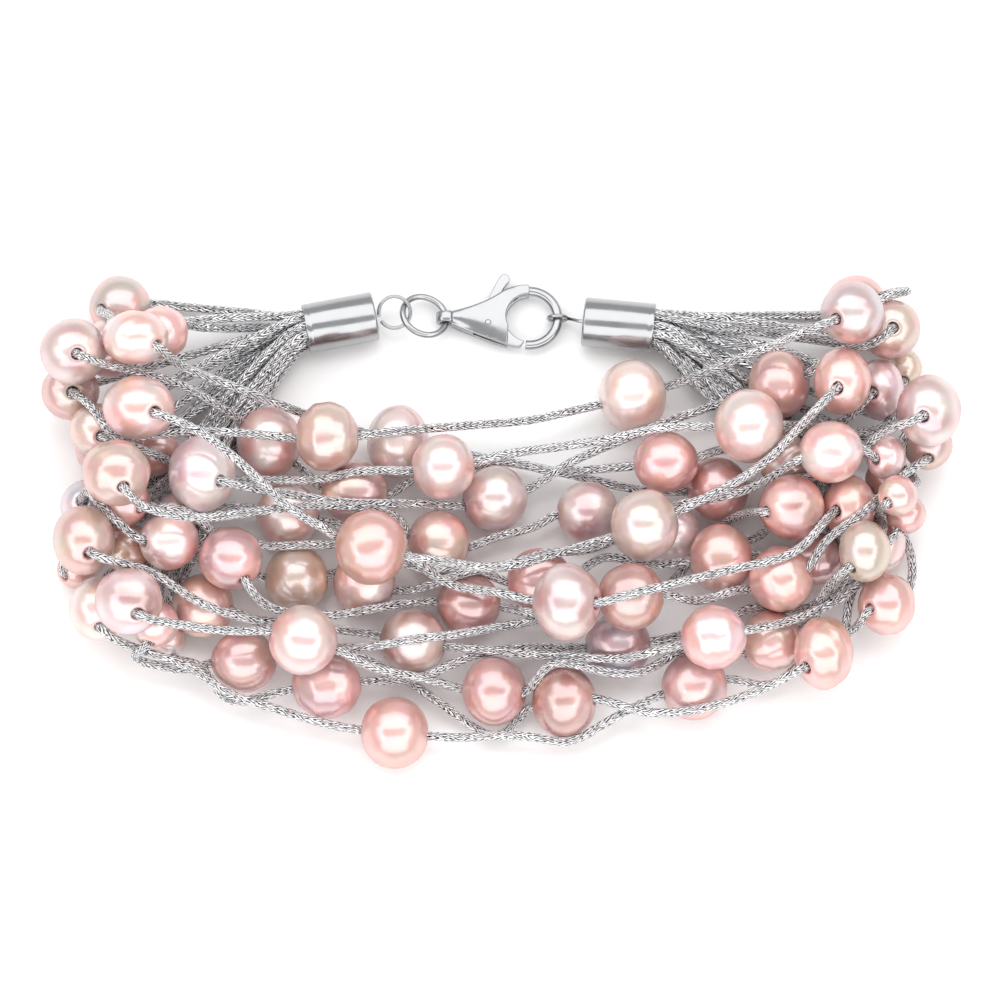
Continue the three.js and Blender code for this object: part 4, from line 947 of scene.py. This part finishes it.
def make_eye_pin(side):
    centre, inward = CAPS[side]
    head = centre + inward * (CAP_END - CAP_WALL * 1.5 - 0.35)
    if side == "left":
        across = np.array([-inward[1], inward[0], 0]) * math.cos(EYE_TILT)
        across[2] = math.sin(EYE_TILT)
        middle = centre + inward * (CAP_END + EYE_NECK + EYE_RADIUS)
        eye = arc(middle, EYE_RADIUS, inward, across, 180, -158, 60)
        neck = [centre + inward * (CAP_END + 0.05)]
    else:
        middle = CLASP_MIDDLE + HOOK_MIDDLE_RADIUS * ACROSS
        eye = arc(middle, SMALL_EYE_RADIUS, ACROSS, np.array([0, 0, 1.0]), 0, 335, 48)
        neck = [centre + inward * (CAP_END + 0.3)]
    pin = wire(f"eye_pin_wire_{side}", [head, *neck, *eye], 2 * PIN_RADIUS, SILVER, sides=5)
    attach(pin, "bracelet")
    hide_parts(f"{side}_eye_pin")
    bm = bmesh.new()
    spin_profile(bm, [(0, -0.2), (0.72, -0.2), (0.8, -0.12), (0.8, 0.08), (0.6, 0.18), (0, 0.2)], 32)
    move(bm, stand_along(inward, head))
    finish_piece(bm, f"eye_pin_head_{side}", SILVER, f"{side}_eye_pin")


for side in ("left", "right"):
    make_cap(side)
    make_eye_pin(side)

# ---------------------------------------------------------------- jump ring

RING_RADIUS = 2.3
RING_WIRE = 0.325
KNUCKLE_MIDDLE = np.array([CLASP_MIDDLE[0] - 8.45, CLASP_MIDDLE[1], CLASP_MIDDLE[2]])
RING_LEFT = np.array([-9.87, 20.95, 2.62])


def make_ring_of_wire(bm, radius, thickness, angle=math.tau, squeeze=1.0):
    """A wire bent round Z, from +X on: all the way, or part of it with closed ends."""
    section = bmesh.ops.create_circle(bm, cap_ends=angle < math.tau, segments=20, radius=thickness)
    around = bm.verts[:] + bm.edges[:] + bm.faces[:]
    bmesh.ops.transform(
        bm, verts=section["verts"],
        matrix=Matrix.Translation((radius, 0, 0)) @ Matrix.Rotation(math.pi / 2, 4, "X")
        @ Matrix.Diagonal((1, squeeze, 1, 1)),
    )
    bmesh.ops.spin(
        bm, geom=around, cent=(0, 0, 0), axis=(0, 0, 1), angle=angle, steps=72,
        use_merge=angle == math.tau, use_duplicate=False,
    )
    bmesh.ops.holes_fill(bm, edges=[edge for edge in bm.edges if edge.is_boundary])


def make_jump_ring():
    across = unit(KNUCKLE_MIDDLE - RING_LEFT)
    middle = (RING_LEFT + KNUCKLE_MIDDLE) / 2
    sideways = Matrix.Rotation(-EYE_TILT, 3, Vector(across)) @ Vector((0, 1, 0))
    normal = Vector(across).cross(sideways).normalized()
    bm = bmesh.new()
    make_ring_of_wire(bm, RING_RADIUS, RING_WIRE)
    move(bm, stand_along(normal, middle))
    finish_piece(bm, "silver_jump_ring", SILVER, "jump_ring", "ring")


make_jump_ring()

# ---------------------------------------------------------------- clasp

CLASP_PLACE = Matrix.Translation(in_metres(CLASP_MIDDLE)) @ Matrix.Scale(0.001, 4)
HOOK_INNER = 2.35
HOOK_OUTER = 3.35
PIVOT = Vector((-4.2, -0.75))


def flat(radius, start, end, steps, centre=(0, 0)):
    """Part of a circle in the clasp's own plane."""
    x, y = centre
    turns = np.radians(np.linspace(start, end, steps + 1))
    return [(x + radius * math.cos(turn), y + radius * math.sin(turn)) for turn in turns]


def curve_through(*corners, steps=8):
    """A quadratic curve from the first corner to the third, pulled to the second."""
    a, b, c = (np.array(corner) for corner in corners)
    shares = np.linspace(0, 1, steps + 1)
    return [tuple((1 - t) ** 2 * a + 2 * t * (1 - t) * b + t * t * c) for t in shares]


def add_plate(bm, outline, low, high):
    """A flat shape of the clasp, from one height above its middle plane to another."""
    corners = []
    for point in outline:
        if not corners or (Vector(point) - corners[-1].co.xy).length > 0.02:
            corners.append(bm.verts.new((*point, low)))
    if (corners[0].co - corners[-1].co).length < 0.02:
        bm.verts.remove(corners.pop())
    face = bm.faces.new(corners)
    grown = bmesh.ops.extrude_face_region(bm, geom=[face], use_keep_orig=True)["geom"]
    lifted = [item for item in grown if isinstance(item, bmesh.types.BMVert)]
    bmesh.ops.translate(bm, verts=lifted, vec=(0, 0, high - low))


def round_edges(bm, width, segments):
    bmesh.ops.recalc_face_normals(bm, faces=bm.faces)
    corner = math.radians(30)
    edges = [edge for edge in bm.edges if edge.is_manifold and edge.calc_face_angle() > corner]
    bmesh.ops.bevel(
        bm, geom=edges, offset=width, segments=segments, profile=0.5, affect="EDGES", material=-1,
        clamp_overlap=True,
    )


def body_outline():
    return [
        *curve_through((-7.9, 0.55), (-5.0, 1.15), (-3.1, 2.45), steps=12),
        *curve_through((-3.1, 2.45), (-1.7, 3.45), (0, HOOK_OUTER)),
        *flat(HOOK_INNER, 90, 205, 24),
        *curve_through((-2.3, -2.95), (-4.4, -2.35), (-7.9, -0.75), steps=12),
    ]


def lever_outline():
    return [
        *curve_through((-4.7, -1.4), (-2.6, -3.1), (-0.95, -3.12)),
        *flat(HOOK_INNER + 0.12, 258, 212, 12),
        *curve_through((-2.1, -1.3), (-3.2, -0.3), (-3.25, 0.6)),
        *curve_through((-3.25, 0.6), (-3.2, 2.6), (-2.1, 3.75)),
        *flat(0.55, -20, 140, 10, (-2.55, 4.1)),
        *curve_through((-2.97, 4.45), (-4.6, 1.6), (-5.0, -0.5)),
    ]


def swell(bm):
    """Makes the flat faces of the cheeks bulge towards the clasp's long middle line."""
    for normal, marks in (((1, 0, 0), np.arange(-7.5, 0, 0.5)), ((0, 1, 0), np.arange(-2.7, 3.3, 0.3))):
        for mark in marks:
            bmesh.ops.bisect_plane(
                bm, geom=bm.verts[:] + bm.edges[:] + bm.faces[:], dist=1e-4,
                plane_co=mark * Vector(normal), plane_no=normal,
            )
    for vert in bm.verts:
        x, y, z = vert.co
        half = np.interp(x, (-7.9, -2.6), (0.65, 2.9))
        across = min(1, abs(y - 0.1 * half + 0.1) / half)
        raised = (abs(z) - CHEEK_INNER) * (1 - 0.5 * across**2)
        vert.co.z = math.copysign(CHEEK_INNER + raised, z)


CHEEK_INNER = 0.45
CHEEK_OUTER = 1.2
CHEEK_ROUND = 0.36
TAIL_END = -5.3
TAIL_HALF = 0.8
HOOK_TURN = math.radians(218)
HOOK_START = math.radians(-98)
LEVER_HALF = 0.3
LEVER_ROUND = 0.12


def make_cheeks():
    outline = body_outline()
    bm = bmesh.new()
    add_plate(bm, outline, CHEEK_INNER, CHEEK_OUTER)
    add_plate(bm, outline, -CHEEK_OUTER, -CHEEK_INNER)
    round_edges(bm, CHEEK_ROUND, 4)
    swell(bm)
    add_plate(bm, [(x, y) for x, y in outline if x < TAIL_END], -TAIL_HALF, TAIL_HALF)
    move(bm, CLASP_PLACE)
    mark_sharp(finish_piece(bm, "clasp_cheeks", SILVER, "clasp_body", "clasp"))


def make_hook():
    bm = bmesh.new()
    make_ring_of_wire(bm, HOOK_MIDDLE_RADIUS, 0.5, angle=HOOK_TURN, squeeze=0.95)
    bmesh.ops.rotate(bm, verts=bm.verts, cent=(0, 0, 0), matrix=Matrix.Rotation(HOOK_START, 3, "Z"))
    move(bm, CLASP_PLACE)
    finish_piece(bm, "clasp_hook", SILVER, "clasp_body", "clasp")


def make_knuckle():
    bm = bmesh.new()
    spin_profile(bm, [
        (0.66, -0.5), (0.72, -0.55), (0.98, -0.55), (1.05, -0.46), (1.05, 0.46), (0.98, 0.55),
        (0.72, 0.55), (0.66, 0.5), (0.66, -0.5),
    ], 40)
    move(bm, stand_along((0, 1, 0), KNUCKLE_MIDDLE))
    finish_piece(bm, "clasp_knuckle", SILVER, "clasp_body", "clasp")


def make_lever():
    bm = bmesh.new()
    add_plate(bm, lever_outline(), -LEVER_HALF, LEVER_HALF)
    round_edges(bm, LEVER_ROUND, 3)
    move(bm, CLASP_PLACE)
    mark_sharp(finish_piece(bm, "clasp_sprung_lever", SILVER, "clasp_lever", "lever"))


def make_rivet():
    bm = bmesh.new()
    spin_profile(bm, [
        (0, -1.23), (0.2, -1.22), (0.32, -1.16), (0.32, 1.16), (0.2, 1.22), (0, 1.23),
    ], 24)
    pivot = CLASP_MIDDLE + np.array([PIVOT.x, PIVOT.y, 0])
    move(bm, stand_along((0, 0, 1), pivot))
    finish_piece(bm, "clasp_rivet_head", SILVER, "clasp_rivet", "clasp")


make_cheeks()
make_hook()
make_knuckle()
make_lever()
make_rivet()

# ---------------------------------------------------------------- the resin in the caps

for side in ("left", "right"):
    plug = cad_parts[f"{side}_resin_plug"]
    plug.data.materials.clear()
    plug.data.materials.append(RESIN)

# ---------------------------------------------------------------- floor and studio light


def make_floor():
    bm = bmesh.new()
    bmesh.ops.create_grid(bm, x_segments=8, y_segments=8, size=1.2)
    mesh = bpy.data.meshes.new("studio_floor")
    bm.to_mesh(mesh)
    bm.free()
    mesh.materials.append(floor_material())
    floor = bpy.data.objects.new("studio_floor", mesh)
    bpy.context.collection.objects.link(floor)


def add_softbox(name, at, width, height):
    light = bpy.data.lights.new(name, "AREA")
    light.shape = "RECTANGLE"
    light.size = width
    light.size_y = height
    light.energy = SOFTBOX_BRIGHTNESS * math.pi * width * height
    softbox = bpy.data.objects.new(name, light)
    softbox.location = at
    softbox.rotation_euler = (VIEW_MIDDLE - Vector(at)).to_track_quat("-Z", "Y").to_euler()
    softbox.visible_camera = False
    bpy.context.collection.objects.link(softbox)


def add_studio_walls():
    world = bpy.data.worlds.new("studio")
    world.use_nodes = True
    walls = world.node_tree.nodes["Background"]
    walls.inputs["Color"].default_value = (1, 1, 1, 1)
    walls.inputs["Strength"].default_value = WALL_BRIGHTNESS
    bpy.context.scene.world = world


SOFTBOX_BRIGHTNESS = 1.5
WALL_BRIGHTNESS = 0.64
make_floor()
add_softbox("rear_softbox", (0, 0.27, 0.56), 1.3, 0.62)
add_softbox("front_softbox", (0, -0.56, 0.42), 1.3, 0.62)
add_softbox("left_softbox", (-0.62, -0.15, 0.5), 0.6, 0.3)
add_softbox("right_softbox", (0.62, -0.15, 0.5), 0.6, 0.3)
add_studio_walls()
bpy.context.scene.view_settings.view_transform = "Standard"
